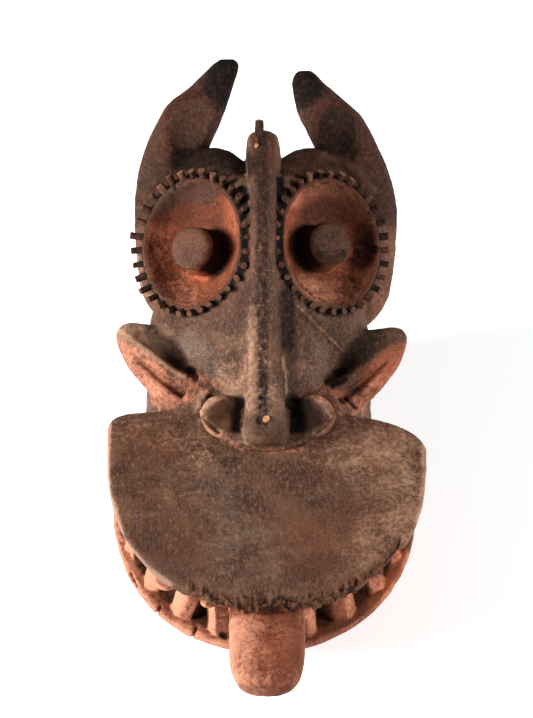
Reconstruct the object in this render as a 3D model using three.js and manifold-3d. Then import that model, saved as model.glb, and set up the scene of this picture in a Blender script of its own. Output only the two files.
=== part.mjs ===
// A carved wooden helmet mask: a bell that sits on the wearer's head, a sloping heart-shaped face
// with two dished eyes, a long ridge down to the nose, swept horns, ears, and open jaws with a tongue.
// The mask is one block of wood. The pegs set into it round the eyes and along the ridge are loose.
// Millimetres, +Z up; the face looks along -Y, and +X is on the right of someone who faces it.
// While it is built, the origin is near the middle of the bell's rim; the last lines move it to the base.
import * as THREE from 'three';
import { mergeVertices } from 'three/addons/utils/BufferGeometryUtils.js';
import Module from 'manifold-3d';

const wasm = await Module();
wasm.setup();

// Driving dimensions
const bell = { centreX: -4, halfWidth: 100.5, halfLength: 119, flare: 3, wall: 15.5, wallHeight: 92 };
const face = { footY: -64, footZ: 137, slope: 33 };
const eye = { up: 143.5, yaw: 28, halfWidth: 48, halfHeight: 57.5, depth: 28, wall: 3.5 };
const eyeAcross = { left: 63.5, right: 60.5 };
const pupil = { radius: 19.2, height: 6, lift: { left: -4, right: 0 } };
const jaw = { middleY: -110, closedBehind: -175 };
const upperJaw = { centreX: 3.5, halfWidth: 143.5, front: 179, back: 52, topAtBack: 118, thickness: 24 };
const upperJawFall = 0.06;
const lowerJaw = { centreX: 1.5, halfWidth: 135.5, front: 175, back: 50, height: 44, bevel: 44 };
const mouth = { teethFoot: 26, teethHead: 36, sideInset: 9, sideWaist: 12 };
const tooth = { edgeHalfWidth: 1, gable: 5.5, depth: 36, footInset: 3.5, headInset: 16 };
const tongue = { centreX: 3.5, halfWidth: 33.5, thick: 27, rootY: -235, rootTop: 89, tipY: -356, tipTop: 77 };
const nostrils = { across: 4, up: 49.5, towards: 160.5, front: 3, halfWidth: 60, halfHeight: 43, depth: 34 };
const nostrilTray = { topDown: 13, hollowDown: 5, rim: 4, hollowDepth: 26, hollowLift: 34 };
const nostrilCup = { across: 40, down: 12, halfWidth: 20, halfHeight: 18.5, depth: 24 };
const nostrilCupHollow = { rim: 3.5, depth: 13, lift: 10 };
const ear = { rootAcross: 66, rootUp: 62, rootTowards: 112, tipAcross: 131.5, tipUp: 109, tipTowards: 105 };
const scoop = { towards: 80, halfWidth: 25, halfHeight: 33, depth: 9 };
const peg = { count: 32, inlaid: 7, sides: 5, radius: 2.9, sunk: 5.5, behindRim: 3, gap: 0.3 };
const pegLength = { left: 19, right: 16, inlaidLess: 4 };
const pegRake = { mean: 57, lessInside: 11, lessAbove: 15, lessAtSides: 26, sway: 6, swayRate: 7.3 };

const colours = {
  wood: { color: 0x5f4537, roughness: 0.75, metalness: 0 },
  peg: { color: 0x4a3226, roughness: 0.8, metalness: 0 },
};

const radians = THREE.MathUtils.degToRad;

// A point by its places across the face, up along its slope, and out of it
function facePoint(across, up, out) {
  const slope = radians(face.slope);
  return new THREE.Vector3(
    across,
    face.footY + up * Math.cos(slope) - out * Math.sin(slope),
    face.footZ + up * Math.sin(slope) + out * Math.cos(slope),
  );
}

// A point in one eye's own frame, which is turned outwards from the face; side is -1 or 1
function eyePoint(side, across, up, out) {
  const yaw = radians(eye.yaw);
  const turnedAcross = across * Math.cos(yaw) + out * Math.sin(yaw);
  const turnedOut = out * Math.cos(yaw) - across * Math.sin(yaw);
  const middle = side < 0 ? eyeAcross.left : eyeAcross.right;
  return facePoint(side * (middle + turnedAcross), eye.up + up, turnedOut);
}

// The frame of someone who looks down at the mask from in front, 45 degrees above the level
const viewer = {
  right: new THREE.Vector3(1, 0, 0),
  up: new THREE.Vector3(0, Math.SQRT1_2, Math.SQRT1_2),
  towards: new THREE.Vector3(0, -Math.SQRT1_2, Math.SQRT1_2),
};

function viewPoint(across, up, towards) {
  return new THREE.Vector3(across, 0, 0)
    .addScaledVector(viewer.up, up)
    .addScaledVector(viewer.towards, towards);
}

// The points of a ring, each placed by the cosine and sine of its turn
function ring(sides, place) {
  return Array.from({ length: sides }, (_, i) => {
    const turn = i / sides * 2 * Math.PI;
    return place(Math.cos(turn), Math.sin(turn));
  });
}

// A closed surface through a stack of rings, with flat caps on the first and the last
function loft(rings) {
  const count = rings[0].length;
  const last = (rings.length - 1) * count;
  const index = [];
  for (let level = 0; level < last; level += count) {
    for (let i = 0; i < count; i++) {
      const a = level + i;
      const b = level + (i + 1) % count;
      index.push(a, b, b + count, a, b + count, a + count);
    }
  }
  for (let i = 1; i + 1 < count; i++) {
    index.push(0, i + 1, i, last, last + i, last + i + 1);
  }
  const geometry = new THREE.BufferGeometry().setFromPoints(rings.flat());
  geometry.setIndex(index);
  return geometry;
}

// Six times the volume inside a closed surface; it is negative where the faces point inwards
function signedVolume(geometry) {
  const at = geometry.attributes.position;
  const corner = (i) => new THREE.Vector3().fromBufferAttribute(at, geometry.index.getX(i));
  let sum = 0;
  for (let i = 0; i < geometry.index.count; i += 3) {
    sum += corner(i).dot(corner(i + 1).cross(corner(i + 2)));
  }
  return sum;
}

// A closed geometry as a geometry whose shared vertices are merged and whose faces point outwards
function tidy(geometry) {
  const bare = geometry.clone();
  bare.deleteAttribute('normal');
  bare.deleteAttribute('uv');
  const merged = mergeVertices(bare, 1e-4);
  if (signedVolume(merged) < 0) merged.index.array.reverse();
  return merged;
}

// A closed geometry as a solid that can be cut and joined
function solid(geometry) {
  const merged = tidy(geometry);
  const vertProperties = merged.attributes.position.array;
  const triVerts = new Uint32Array(merged.index.array);
  return new wasm.Manifold(new wasm.Mesh({ numProp: 3, vertProperties, triVerts }));
}

// A solid's surface as a geometry with shaded faces
function surface(made) {
  const mesh = made.getMesh();
  const geometry = new THREE.BufferGeometry();
  geometry.setAttribute('position', new THREE.BufferAttribute(mesh.vertProperties, 3));
  geometry.setIndex(new THREE.BufferAttribute(mesh.triVerts, 1));
  geometry.computeVertexNormals();
  return geometry;
}

// A ball or a block in the viewer's frame, with its three sizes across, up and towards the viewer
function inView(geometry, centre, [across, up, towards]) {
  geometry.scale(across, up, towards);
  const frame = new THREE.Matrix4().makeBasis(viewer.right, viewer.up, viewer.towards);
  geometry.applyMatrix4(frame.setPosition(centre));
  return solid(geometry);
}

const ball = (centre, radii) => inView(new THREE.SphereGeometry(1, 18, 8), centre, radii);
const block = (centre, sizes) => inView(new THREE.BoxGeometry(1, 1, 1), centre, sizes);

// One ring of the bell or its cavity; tilt lifts its back
function bellRing({ y = 0, z, tilt = 0, inset }, sides) {
  const lean = radians(tilt);
  return ring(sides, (c, s) => new THREE.Vector3(
    bell.centreX + (bell.halfWidth - inset) * c,
    y + (bell.halfLength - inset) * s * Math.cos(lean),
    z + (bell.halfLength - inset) * s * Math.sin(lean),
  ));
}

// The bell rises straight and closes in a dome that slopes down towards the jaws
function bellSolid() {
  return solid(loft([
    { z: 0, inset: -bell.flare },
    { z: bell.wallHeight * 0.6, inset: 0 },
    { z: bell.wallHeight, inset: 0 },
    { y: 2, z: 128, tilt: 14, inset: 0 },
    { y: 9, z: 156, tilt: 25, inset: 6.5 },
    { y: 17, z: 175, tilt: 32, inset: 22 },
    { y: 24, z: 184, tilt: 33, inset: 51 },
  ].map((level) => bellRing(level, 30))));
}

function cavitySolid() {
  return solid(loft([
    { z: -5, inset: bell.wall - 1 },
    { z: bell.wallHeight * 0.65, inset: bell.wall },
    { y: 2, z: 105, tilt: 8, inset: bell.wall + 6 },
    { y: 7, z: 136, tilt: 18, inset: bell.wall + 20 },
    { y: 12, z: 152, tilt: 24, inset: bell.wall + 42 },
    { y: 15, z: 158, tilt: 24, inset: bell.wall + 62 },
  ].map((level) => bellRing(level, 24))));
}

// The cheeks: a wedge with a roof-shaped section that narrows from the eyes to the nose
function cheekSolid() {
  return solid(loft([
    { up: -16, half: 24, crest: 20, edge: 6, under: -26 },
    { up: 4, half: 35, crest: 25, edge: 3, under: -40 },
    { up: 22, half: 54, crest: 28, edge: -4, under: -48 },
    { up: 44, half: 69, crest: 30, edge: -9, under: -56 },
    { up: 88, half: 84, crest: 32, edge: -15, under: -66 },
    { up: 125, half: 83, crest: 32, edge: -16, under: -70 },
    { up: 172, half: 62, crest: 28, edge: -8, under: -66 },
    { up: 205, half: 34, crest: 20, edge: 0, under: -60 },
  ].map(({ up, half, crest, edge, under }) => {
    const rightHalf = [
      [half * 0.5, (crest + edge) / 2 + 4],
      [half, edge],
      [half, edge - 9],
      [half * 0.86, under * 0.7],
      [half * 0.55, under],
    ];
    const leftHalf = rightHalf.map(([across, out]) => [-across, out]).reverse();
    return [[0, crest], ...rightHalf, ...leftHalf].map(([across, out]) => facePoint(across, up, out));
  })));
}

// One eye's drum, which swells behind its rim into the brow
function drumSolid(side) {
  const half = eye.halfWidth + eye.wall;
  const tall = eye.halfHeight + eye.wall;
  return solid(loft([
    { out: 0, up: 0, wider: 0, taller: 0 },
    { out: -7, up: 1, wider: 3, taller: 3 },
    { out: -17, up: 9, wider: 6, taller: 12 },
    { out: -31, up: 13, wider: 7, taller: 17 },
    { out: -51, up: 11, wider: 3, taller: 11 },
    { out: -79, up: -2, wider: -9, taller: -9 },
  ].map(({ out, up, wider, taller }) => ring(24, (c, s) => (
    eyePoint(side, (half + wider) * c, up + (tall + taller) * s, out)
  )))));
}

// The hollow of one eye's dish, from just above its rim to a rounded floor
function dishSolid(side) {
  return solid(loft([
    { out: 5, share: 1.04 },
    { out: 0, share: 1 },
    { out: -eye.depth * 0.42, share: 0.86 },
    { out: -eye.depth * 0.8, share: 0.62 },
    { out: -eye.depth, share: 0.34 },
  ].map(({ out, share }) => ring(24, (c, s) => (
    eyePoint(side, eye.halfWidth * share * c, eye.halfHeight * share * s, out)
  )))));
}

// The plug of wood that stands in the dish as the pupil, with a slightly domed end
function pupilSolid(side) {
  const lift = side < 0 ? pupil.lift.left : pupil.lift.right;
  return solid(loft([
    { out: -eye.depth - 12, radius: pupil.radius + 4 },
    { out: -eye.depth + 6, radius: pupil.radius + 1.5 },
    { out: pupil.height - 4, radius: pupil.radius },
    { out: pupil.height - 0.8, radius: pupil.radius - 3 },
    { out: pupil.height, radius: pupil.radius - 8 },
  ].map(({ out, radius }) => ring(16, (c, s) => eyePoint(side, radius * c, lift + radius * s, out)))));
}

// The ridge from above the brows to the tip of the nose; its section is a round-topped bar
function ridgeSolid() {
  return solid(loft([
    { up: -45, half: 13, top: 27, foot: 0 },
    { up: -41, half: 18, top: 36, foot: -8 },
    { up: -30, half: 19, top: 43, foot: -12 },
    { up: 0, half: 17, top: 43, foot: -10 },
    { up: 44, half: 15, top: 42, foot: 0 },
    { up: 90, half: 12, top: 42, foot: 5 },
    { up: 140, half: 10.5, top: 42, foot: 0 },
    { up: 190, half: 11, top: 42, foot: -20 },
    { up: 222, half: 14, top: 40, foot: -30 },
    { up: 234, half: 12, top: 36, foot: -24 },
    { up: 239, half: 6, top: 28, foot: -10 },
  ].map(({ up, half, top, foot }) => [
    [-half * 1.12, foot],
    [-half, top - 9],
    [-half * 0.72, top - 2.5],
    [0, top],
    [half * 0.72, top - 2.5],
    [half, top - 9],
    [half * 1.12, foot],
  ].map(([across, out]) => facePoint(across, up, out)))));
}

// A ball about the middle of the nostrils without the part of it above a level
function nostrilBowl(radii, topDown) {
  const { across, up, towards } = nostrils;
  const reach = 200;
  return ball(viewPoint(across, up, towards), radii)
    .subtract(block(viewPoint(across, up - topDown + reach / 2, towards), [reach, reach, reach]));
}

// The nostrils are a tray round the foot of the nose, whose two ends are rounded cups
function nostrilSolid() {
  const { across, up, towards, front, halfWidth, halfHeight, depth } = nostrils;
  const tray = nostrilBowl([halfWidth, halfHeight, depth], nostrilTray.topDown);
  const cups = [-1, 1].map((side) => ball(
    viewPoint(across + side * nostrilCup.across, up - nostrilCup.down, towards),
    [nostrilCup.halfWidth, nostrilCup.halfHeight, nostrilCup.depth],
  ));
  const reach = 200;
  const ahead = block(viewPoint(across, up, towards + front + reach / 2), [reach, reach, reach]);
  return cups.reduce((whole, cup) => whole.add(cup), tray).subtract(ahead);
}

function nostrilHollow() {
  const { across, up, towards, front, halfWidth, halfHeight } = nostrils;
  // The end of a ball whose middle lies ahead of the nostrils' front, so that the sides slope gently
  const bowl = (atAcross, atUp, width, height, deep, lift) => {
    const widen = 1 / Math.sqrt(1 - (lift / (lift + deep)) ** 2);
    const middle = viewPoint(atAcross, atUp, towards + front + lift);
    return ball(middle, [width * widen, height * widen, lift + deep]);
  };
  const { rim, hollowDown, hollowDepth, hollowLift } = nostrilTray;
  const reach = 200;
  const above = block(viewPoint(across, up - hollowDown + reach / 2, towards), [reach, reach, reach]);
  const tray = bowl(across, up, halfWidth - rim, halfHeight - rim, hollowDepth, hollowLift).subtract(above);
  const cups = [-1, 1].map((side) => bowl(
    across + side * nostrilCup.across,
    up - nostrilCup.down,
    nostrilCup.halfWidth - nostrilCupHollow.rim,
    nostrilCup.halfHeight - nostrilCupHollow.rim,
    nostrilCupHollow.depth,
    nostrilCupHollow.lift,
  ));
  return cups.reduce((whole, cup) => whole.add(cup), tray);
}

// Each horn is an oval bar in the viewer's frame: broad up to its shoulder, then tapered to a blunt tip
const horns = {
  left: [
    { up: 122, across: -78, half: 12, deep: 12 },
    { up: 146, across: -84, half: 24, deep: 18 },
    { up: 195, across: -88, half: 27, deep: 20 },
    { up: 240, across: -87, half: 28, deep: 21 },
    { up: 275, across: -78.8, half: 28.4, deep: 21 },
    { up: 307, across: -64.4, half: 28, deep: 20 },
    { up: 320, across: -57.6, half: 25.5, deep: 18 },
    { up: 333, across: -47, half: 19, deep: 14 },
    { up: 351, across: -34.4, half: 12, deep: 11 },
    { up: 357, across: -32.5, half: 6, deep: 6 },
  ],
  right: [
    { up: 119, across: 86, half: 9, deep: 9 },
    { up: 133, across: 87, half: 20, deep: 16 },
    { up: 155, across: 90, half: 25, deep: 19 },
    { up: 204, across: 92.8, half: 27.8, deep: 20 },
    { up: 240, across: 90, half: 28, deep: 21 },
    { up: 270, across: 79.8, half: 28.4, deep: 21 },
    { up: 302, across: 64, half: 28.2, deep: 20 },
    { up: 314, across: 56.6, half: 25.7, deep: 18 },
    { up: 334, across: 42.6, half: 15.6, deep: 12 },
    { up: 342, across: 38.8, half: 10.6, deep: 9 },
    { up: 346.5, across: 37.6, half: 5, deep: 5 },
  ],
  towardsAtRoot: 50,
  towardsAtTip: 62,
  scoops: [{ across: -63, up: 300 }, { across: 67, up: 294 }],
};

function hornSolid(stations) {
  const [first, last] = [stations[0].up, stations[stations.length - 1].up];
  return solid(loft(stations.map(({ up, across, half, deep }) => {
    const towards = THREE.MathUtils.mapLinear(up, first, last, horns.towardsAtRoot, horns.towardsAtTip);
    return ring(12, (c, s) => viewPoint(across + half * c, up, towards + deep * s));
  })));
}

// A shallow scoop on the front of a horn, below its shoulder
function hornScoop({ across, up }) {
  return ball(viewPoint(across, up, scoop.towards), [scoop.halfWidth, scoop.halfHeight, scoop.depth]);
}

// A ring across an ear, in the ear's frame, which runs from its root in the bell to its tip; side is -1 or 1
function earRing(side, { along, centre, tall, deep, forward = 0 }, sides) {
  const root = viewPoint(ear.rootAcross, ear.rootUp, ear.rootTowards);
  const tip = viewPoint(ear.tipAcross, ear.tipUp, ear.tipTowards);
  const axis = tip.clone().sub(root).normalize();
  const upright = new THREE.Vector3().crossVectors(viewer.towards, axis).normalize();
  const front = new THREE.Vector3().crossVectors(axis, upright);
  return ring(sides, (c, s) => {
    const point = root.clone()
      .addScaledVector(axis, along)
      .addScaledVector(upright, centre + tall * c)
      .addScaledVector(front, forward + deep * s);
    point.x *= side;
    return point;
  });
}

// The right ear sits a little lower and nearer in than the left one
function placeEar(side, made) {
  return side < 0 ? made : made.translate(-2.5, -3, -3);
}

// An ear is a leaf that points up and out from the bell
function earSolid(side) {
  return placeEar(side, solid(loft([
    { along: -18, centre: 4, tall: 27, deep: 20 },
    { along: 20, centre: 5, tall: 29, deep: 19 },
    { along: 36, centre: 6, tall: 28, deep: 18 },
    { along: 52, centre: 6, tall: 24, deep: 16 },
    { along: 66, centre: 5.5, tall: 17.5, deep: 13 },
    { along: 78, centre: 6.5, tall: 9.7, deep: 8 },
    { along: 83, centre: 6.3, tall: 4, deep: 4 },
  ].map((level) => earRing(side, level, 16)))));
}

// The hollow in the upper half of an ear, and the groove below the edge between them
function earHollow(side) {
  return placeEar(side, solid(loft([
    { along: -4, centre: 18, tall: 9, deep: 12, forward: 18 },
    { along: 24, centre: 17.5, tall: 12, deep: 15, forward: 18 },
    { along: 46, centre: 17, tall: 10, deep: 10, forward: 15 },
    { along: 66, centre: 11, tall: 5, deep: 5, forward: 12 },
  ].map((level) => earRing(side, level, 12)))));
}

function earGroove(side) {
  return placeEar(side, solid(loft([
    { along: -2, centre: -8, tall: 4.5, deep: 10, forward: 18 },
    { along: 26, centre: -8, tall: 4.5, deep: 8, forward: 17 },
    { along: 54, centre: -6, tall: 2, deep: 4, forward: 14 },
  ].map((level) => earRing(side, level, 8)))));
}

// A jaw's outline at one height; each quarter of it is rounded or squared by a measure of its own
function jawOutline({ centreX, halfWidth, front, back }, square, inset, z) {
  return ring(32, (c, s) => {
    const power = 2 / square[(s < 0 ? 'front' : 'back') + (c < 0 ? 'Left' : 'Right')];
    const reach = (s < 0 ? front : back) - inset;
    return new THREE.Vector3(
      centreX + (halfWidth - inset) * Math.sign(c) * Math.abs(c) ** power,
      jaw.middleY + reach * Math.sign(s) * Math.abs(s) ** power,
      z,
    );
  });
}

const upperSquare = { frontLeft: 2.25, frontRight: 2.35, backLeft: 7, backRight: 2.35 };
const lowerSquare = { frontLeft: 2.14, frontRight: 2.1, backLeft: 6, backRight: 3 };

// The upper jaw's plate falls slightly towards its front
function upperJawSolid() {
  return solid(loft([
    { z: -upperJaw.thickness, inset: 22 },
    { z: -upperJaw.thickness + 6, inset: 8 },
    { z: -11, inset: 2 },
    { z: -4, inset: 0 },
    { z: -1, inset: 1.5 },
    { z: 0, inset: 5 },
  ].map(({ z, inset }) => {
    const outline = jawOutline(upperJaw, upperSquare, inset, upperJaw.topAtBack + z);
    for (const point of outline) {
      point.z += upperJawFall * (point.y - jaw.middleY - upperJaw.back);
    }
    return outline;
  })));
}

// The lower jaw is a tray with a flat underside and a bevelled wall like a boat's
function lowerJawSolid() {
  const { height, bevel } = lowerJaw;
  return solid(loft([
    { z: 0, inset: bevel + 8 },
    { z: height * 0.2, inset: bevel * 0.74 },
    { z: height * 0.5, inset: bevel * 0.38 },
    { z: height * 0.8, inset: bevel * 0.08 },
    { z: height - 2, inset: 0 },
    { z: height, inset: 2 },
  ].map(({ z, inset }) => jawOutline(lowerJaw, lowerSquare, inset, z))));
}

// The wood behind the teeth, and the mouth's closed sides further back, which stand nearer to the rim
function mouthSolid() {
  const foot = lowerJaw.height - 8;
  const head = upperJaw.topAtBack - upperJaw.thickness;
  const outline = (inset, z) => jawOutline(lowerJaw, lowerSquare, inset, z);
  const core = solid(loft([outline(mouth.teethFoot, foot), outline(mouth.teethHead, head)]));
  const sides = solid(loft([
    outline(mouth.sideInset, foot),
    outline(mouth.sideWaist, (foot + head) / 2),
    outline(mouth.sideInset, head),
  ]));
  const reach = 400;
  const ahead = new THREE.BoxGeometry(reach, reach, reach).translate(0, jaw.closedBehind - reach / 2, 0);
  return core.add(sides.subtract(solid(ahead)));
}

// Where the lower jaw's outline runs in front, inset, at a place across
function jawFront(across, inset, z) {
  const share = (across - lowerJaw.centreX) / (lowerJaw.halfWidth - inset);
  const y = jaw.middleY - (lowerJaw.front - inset) * Math.sqrt(Math.max(1 - share ** 2, 0));
  return new THREE.Vector3(across, y, z);
}

// A tooth: a block with a low gable outwards, from the lower rim up to the plate, leaning sideways
function toothSolid({ across, lean, halfWidth }) {
  const foot = jawFront(across, tooth.footInset, lowerJaw.height - 4);
  const head = jawFront(across + lean, tooth.headInset, upperJaw.topAtBack - upperJaw.thickness + 2);
  const inwards = new THREE.Vector3(
    (lowerJaw.centreX - foot.x) / lowerJaw.halfWidth ** 2,
    (jaw.middleY - foot.y) / lowerJaw.front ** 2,
    0,
  ).normalize();
  const aside = new THREE.Vector3(-inwards.y, inwards.x, 0);
  const { edgeHalfWidth: edgeWide, gable, depth } = tooth;
  const section = [
    [-edgeWide, 0], [edgeWide, 0], [halfWidth, gable],
    [halfWidth, depth], [-halfWidth, depth], [-halfWidth, gable],
  ];
  return solid(loft([foot, head].map((edge) => section.map(([wide, deep]) => (
    edge.clone().addScaledVector(aside, wide).addScaledVector(inwards, deep)
  )))));
}

const toothPlaces = [
  { across: -124, lean: 8, halfWidth: 10 },
  { across: -106, lean: 10, halfWidth: 12 },
  { across: -79, lean: 16, halfWidth: 12.5 },
  { across: -42, lean: -2, halfWidth: 10.5 },
  { across: 40, lean: -2, halfWidth: 11 },
  { across: 78, lean: -8, halfWidth: 13 },
  { across: 108, lean: -10, halfWidth: 12 },
  { across: 124, lean: -9, halfWidth: 10 },
];

// The tongue lies over the lower rim and ends in a rounded tip with a bevel below
function tongueSolid() {
  const { centreX, halfWidth, thick, rootY, rootTop, tipY, tipTop } = tongue;
  const squared = (share, power) => Math.sign(share) * Math.abs(share) ** power;
  return solid(loft([
    { share: 0, half: 0.97, dip: 0 },
    { share: 0.5, half: 1, dip: 0 },
    { share: 0.74, half: 0.98, dip: 0 },
    { share: 0.86, half: 0.89, dip: 0.02 },
    { share: 0.94, half: 0.74, dip: 0.12 },
    { share: 0.98, half: 0.55, dip: 0.3 },
    { share: 1, half: 0.34, dip: 0.5 },
  ].map(({ share, half, dip }) => {
    const top = THREE.MathUtils.lerp(rootTop, tipTop, share);
    const high = top - thick * dip * 0.8;
    const low = top - thick * (1 - dip * 0.35);
    return ring(14, (c, s) => new THREE.Vector3(
      centreX + halfWidth * half * squared(c, 0.7),
      THREE.MathUtils.lerp(rootY, tipY, share),
      (high + low) / 2 + (high - low) / 2 * squared(s, s > 0 ? 0.95 : 0.6),
    ));
  })));
}

// A peg or its hole: a stick with a few flat sides, from its foot inside the wood
function stick({ foot, along, length, radius }, grow = 0) {
  const beside = Math.abs(along.x) < 0.9 ? new THREE.Vector3(1, 0, 0) : new THREE.Vector3(0, 0, 1);
  const first = new THREE.Vector3().crossVectors(along, beside).normalize();
  const second = new THREE.Vector3().crossVectors(along, first);
  return loft([-grow, length + grow].map((way) => ring(peg.sides, (c, s) => foot.clone()
    .addScaledVector(along, way)
    .addScaledVector(first, (radius + grow) * c)
    .addScaledVector(second, (radius + grow) * s))));
}

// Where the pegs of one eye stand: in the drum's wall just behind its rim, raked forwards, least at the sides
function eyePegs(side) {
  return Array.from({ length: peg.count }, (_, i) => {
    const turn = i / peg.count * 2 * Math.PI;
    const [c, s] = [Math.cos(turn), Math.sin(turn)];
    const { mean, lessInside, lessAbove, lessAtSides, sway, swayRate } = pegRake;
    const steady = mean - lessInside * c - lessAbove * s - lessAtSides * c * c;
    const rake = radians(steady + sway * Math.sin(swayRate * i + side));
    const at = (reach) => eyePoint(
      side,
      (eye.halfWidth + eye.wall + reach * Math.cos(rake)) * c,
      (eye.halfHeight + eye.wall + reach * Math.cos(rake)) * s,
      reach * Math.sin(rake) - peg.behindRim,
    );
    const along = at(1).sub(at(0)).normalize();
    const length = side < 0 ? pegLength.left : pegLength.right;
    return { along, foot: at(0).addScaledVector(along, -peg.sunk), length, radius: peg.radius };
  });
}

// The innermost pegs of each eye stand against the ridge, so they are joined to the carved block
const isInlaid = (_, i) => Math.abs(i - peg.count / 2) < peg.inlaid / 2;

const alongFace = (up, out) => facePoint(0, up, out).sub(facePoint(0, 0, 0)).normalize();

const ridgePegs = [
  { name: 'top', foot: facePoint(-1, 230, 31), along: alongFace(1, 0.12), length: 22, radius: 3 },
  { name: 'brow', foot: facePoint(-4, 220, 31), along: alongFace(0.25, 1), length: 13, radius: 2.4 },
  { name: 'nose', foot: facePoint(3, -27, 34), along: alongFace(0, 1), length: 13, radius: 3.4 },
];

function loosePegs() {
  const pegsOf = (side, name) => eyePegs(side)
    .filter((place, i) => !isInlaid(place, i))
    .map((place, i) => ({ ...place, name: `eye_peg_${name}_${String(i + 1).padStart(2, '0')}` }));
  const onRidge = ridgePegs.map((place) => ({ ...place, name: `ridge_peg_${place.name}` }));
  return [...pegsOf(-1, 'left'), ...pegsOf(1, 'right'), ...onRidge];
}

function carvedSolid(places) {
  const bothSides = (make) => [-1, 1].map(make);
  const add = (whole, piece) => whole.add(piece);
  const subtract = (whole, piece) => whole.subtract(piece);
  const bellWithEars = [
    ...bothSides(earHollow), ...bothSides(earGroove),
  ].reduce(subtract, [bellSolid(), ...bothSides(earSolid)].reduce(add));
  const masses = [
    bellWithEars, cheekSolid(), ...bothSides(drumSolid), hornSolid(horns.left), hornSolid(horns.right),
    nostrilSolid(), upperJawSolid(), lowerJawSolid(), mouthSolid(),
  ];
  const hollows = [
    cavitySolid(), nostrilHollow(), ...bothSides(dishSolid), ...horns.scoops.map(hornScoop),
  ];
  const inlaidPegs = [...eyePegs(-1).filter(isInlaid), ...eyePegs(1).filter(isInlaid)]
    .map((place) => solid(stick({ ...place, length: place.length - pegLength.inlaidLess })));
  const details = [
    ridgeSolid(), tongueSolid(), ...bothSides(pupilSolid), ...toothPlaces.map(toothSolid), ...inlaidPegs,
  ];
  const carved = details.reduce(add, hollows.reduce(subtract, masses.reduce(add)));
  return places.map((place) => solid(stick(place, peg.gap))).reduce(subtract, carved);
}

const places = loosePegs();
const mask = new THREE.Group();
const carved = new THREE.Mesh(surface(carvedSolid(places)), new THREE.MeshStandardMaterial(colours.wood));
carved.name = 'carved_mask';
mask.add(carved);
for (const place of places) {
  const piece = new THREE.Mesh(tidy(stick(place)), new THREE.MeshStandardMaterial(colours.peg));
  piece.name = place.name;
  mask.add(piece);
}

// The origin becomes the middle of the base, under the middle of the whole mask's box
const extent = new THREE.Box3().setFromObject(mask);
const middle = extent.getCenter(new THREE.Vector3());
mask.position.set(-middle.x, -middle.y, -extent.min.z);

export default mask;
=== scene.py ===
import math
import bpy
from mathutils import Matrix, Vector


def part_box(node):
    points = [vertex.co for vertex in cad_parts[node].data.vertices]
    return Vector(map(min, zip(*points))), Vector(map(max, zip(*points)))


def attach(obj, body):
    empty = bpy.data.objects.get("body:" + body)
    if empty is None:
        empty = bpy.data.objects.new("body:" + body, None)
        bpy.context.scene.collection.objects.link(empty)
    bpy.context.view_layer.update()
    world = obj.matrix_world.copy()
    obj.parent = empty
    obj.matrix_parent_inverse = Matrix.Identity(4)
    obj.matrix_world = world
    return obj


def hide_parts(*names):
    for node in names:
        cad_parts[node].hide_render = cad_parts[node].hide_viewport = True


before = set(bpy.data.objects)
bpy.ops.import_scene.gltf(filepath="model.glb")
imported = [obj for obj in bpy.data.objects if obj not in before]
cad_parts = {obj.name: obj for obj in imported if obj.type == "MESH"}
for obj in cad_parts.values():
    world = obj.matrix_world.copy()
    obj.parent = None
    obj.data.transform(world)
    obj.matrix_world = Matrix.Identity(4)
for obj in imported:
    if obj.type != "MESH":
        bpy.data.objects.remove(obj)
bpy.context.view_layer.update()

from types import SimpleNamespace
import bpy
import numpy as np
import openvdb as vdb
from mathutils import Vector

# The mask is shaped in millimetres in the carver's frame, +Z up and the face towards -Y, then moved.
# What is read off the picture is kept in its pixels: across is to the right, down is down.
picture = {"millimetres": 0.9, "middleAcross": 263, "middleDown": 457.15}
diagonal = math.sqrt(0.5)
bothSides = (-1, 1)


def inPicture(across, down):
    return (picture["millimetres"] * (across - picture["middleAcross"]),
            picture["millimetres"] * (picture["middleDown"] - down))


# Points and lofts

def around(count):
    turn = np.arange(count) / count * 2 * math.pi
    return np.cos(turn), np.sin(turn)


# In the frame of someone who looks down at the mask from in front, 45 degrees above the level
def viewPoint(across, up, towards):
    across, up, towards = np.broadcast_arrays(across, up, towards)
    return np.stack([across, diagonal * (up - towards), diagonal * (up + towards)], -1)


face = {"footY": -64, "footZ": 137, "slope": math.radians(33)}


def facePoint(across, up, out):
    across, up, out = np.broadcast_arrays(across, up, out)
    cosine, sine = math.cos(face["slope"]), math.sin(face["slope"])
    y = face["footY"] + up * cosine - out * sine
    return np.stack([across, y, face["footZ"] + up * sine + out * cosine], -1)


eye = {"across": {-1: 63.5, 1: 60.5}, "up": 143.5, "yaw": math.radians(28), "halfWidth": 48,
       "halfHeight": 57.5, "depth": 28, "wall": 3.5}


def eyePoint(side, across, up, out):
    cosine, sine = math.cos(eye["yaw"]), math.sin(eye["yaw"])
    return facePoint(side * (eye["across"][side] + across * cosine + out * sine),
                     eye["up"] + up, out * cosine - across * sine)


# A table of a few stations, its columns' names and its rows, becomes many on smooth curves through them
def between(stations, steps):
    columns, rows = stations
    rows = np.array(rows, float)
    padded = np.vstack([2 * rows[0] - rows[1], rows, 2 * rows[-1] - rows[-2]])
    smooth = []
    for i in range(len(rows) - 1):
        a, b, c, d = padded[i:i + 4]
        for t in np.arange(steps) / steps:
            smooth.append(b + 0.5 * t * (c - a + t * (2 * a - 5 * b + 4 * c - d + t * (3 * (b - c) + d - a))))
    smooth.append(rows[-1])
    return [SimpleNamespace(**dict(zip(columns.split(), row))) for row in smooth]


# Extra points on the straight sides of a section
def finer(section, steps):
    section = np.asarray(section, float)
    following = np.roll(section, -1, axis=0)
    shares = (np.arange(steps) / steps)[None, :, None]
    return (section[:, None] * (1 - shares) + following[:, None] * shares).reshape(-1, section.shape[1])


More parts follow.
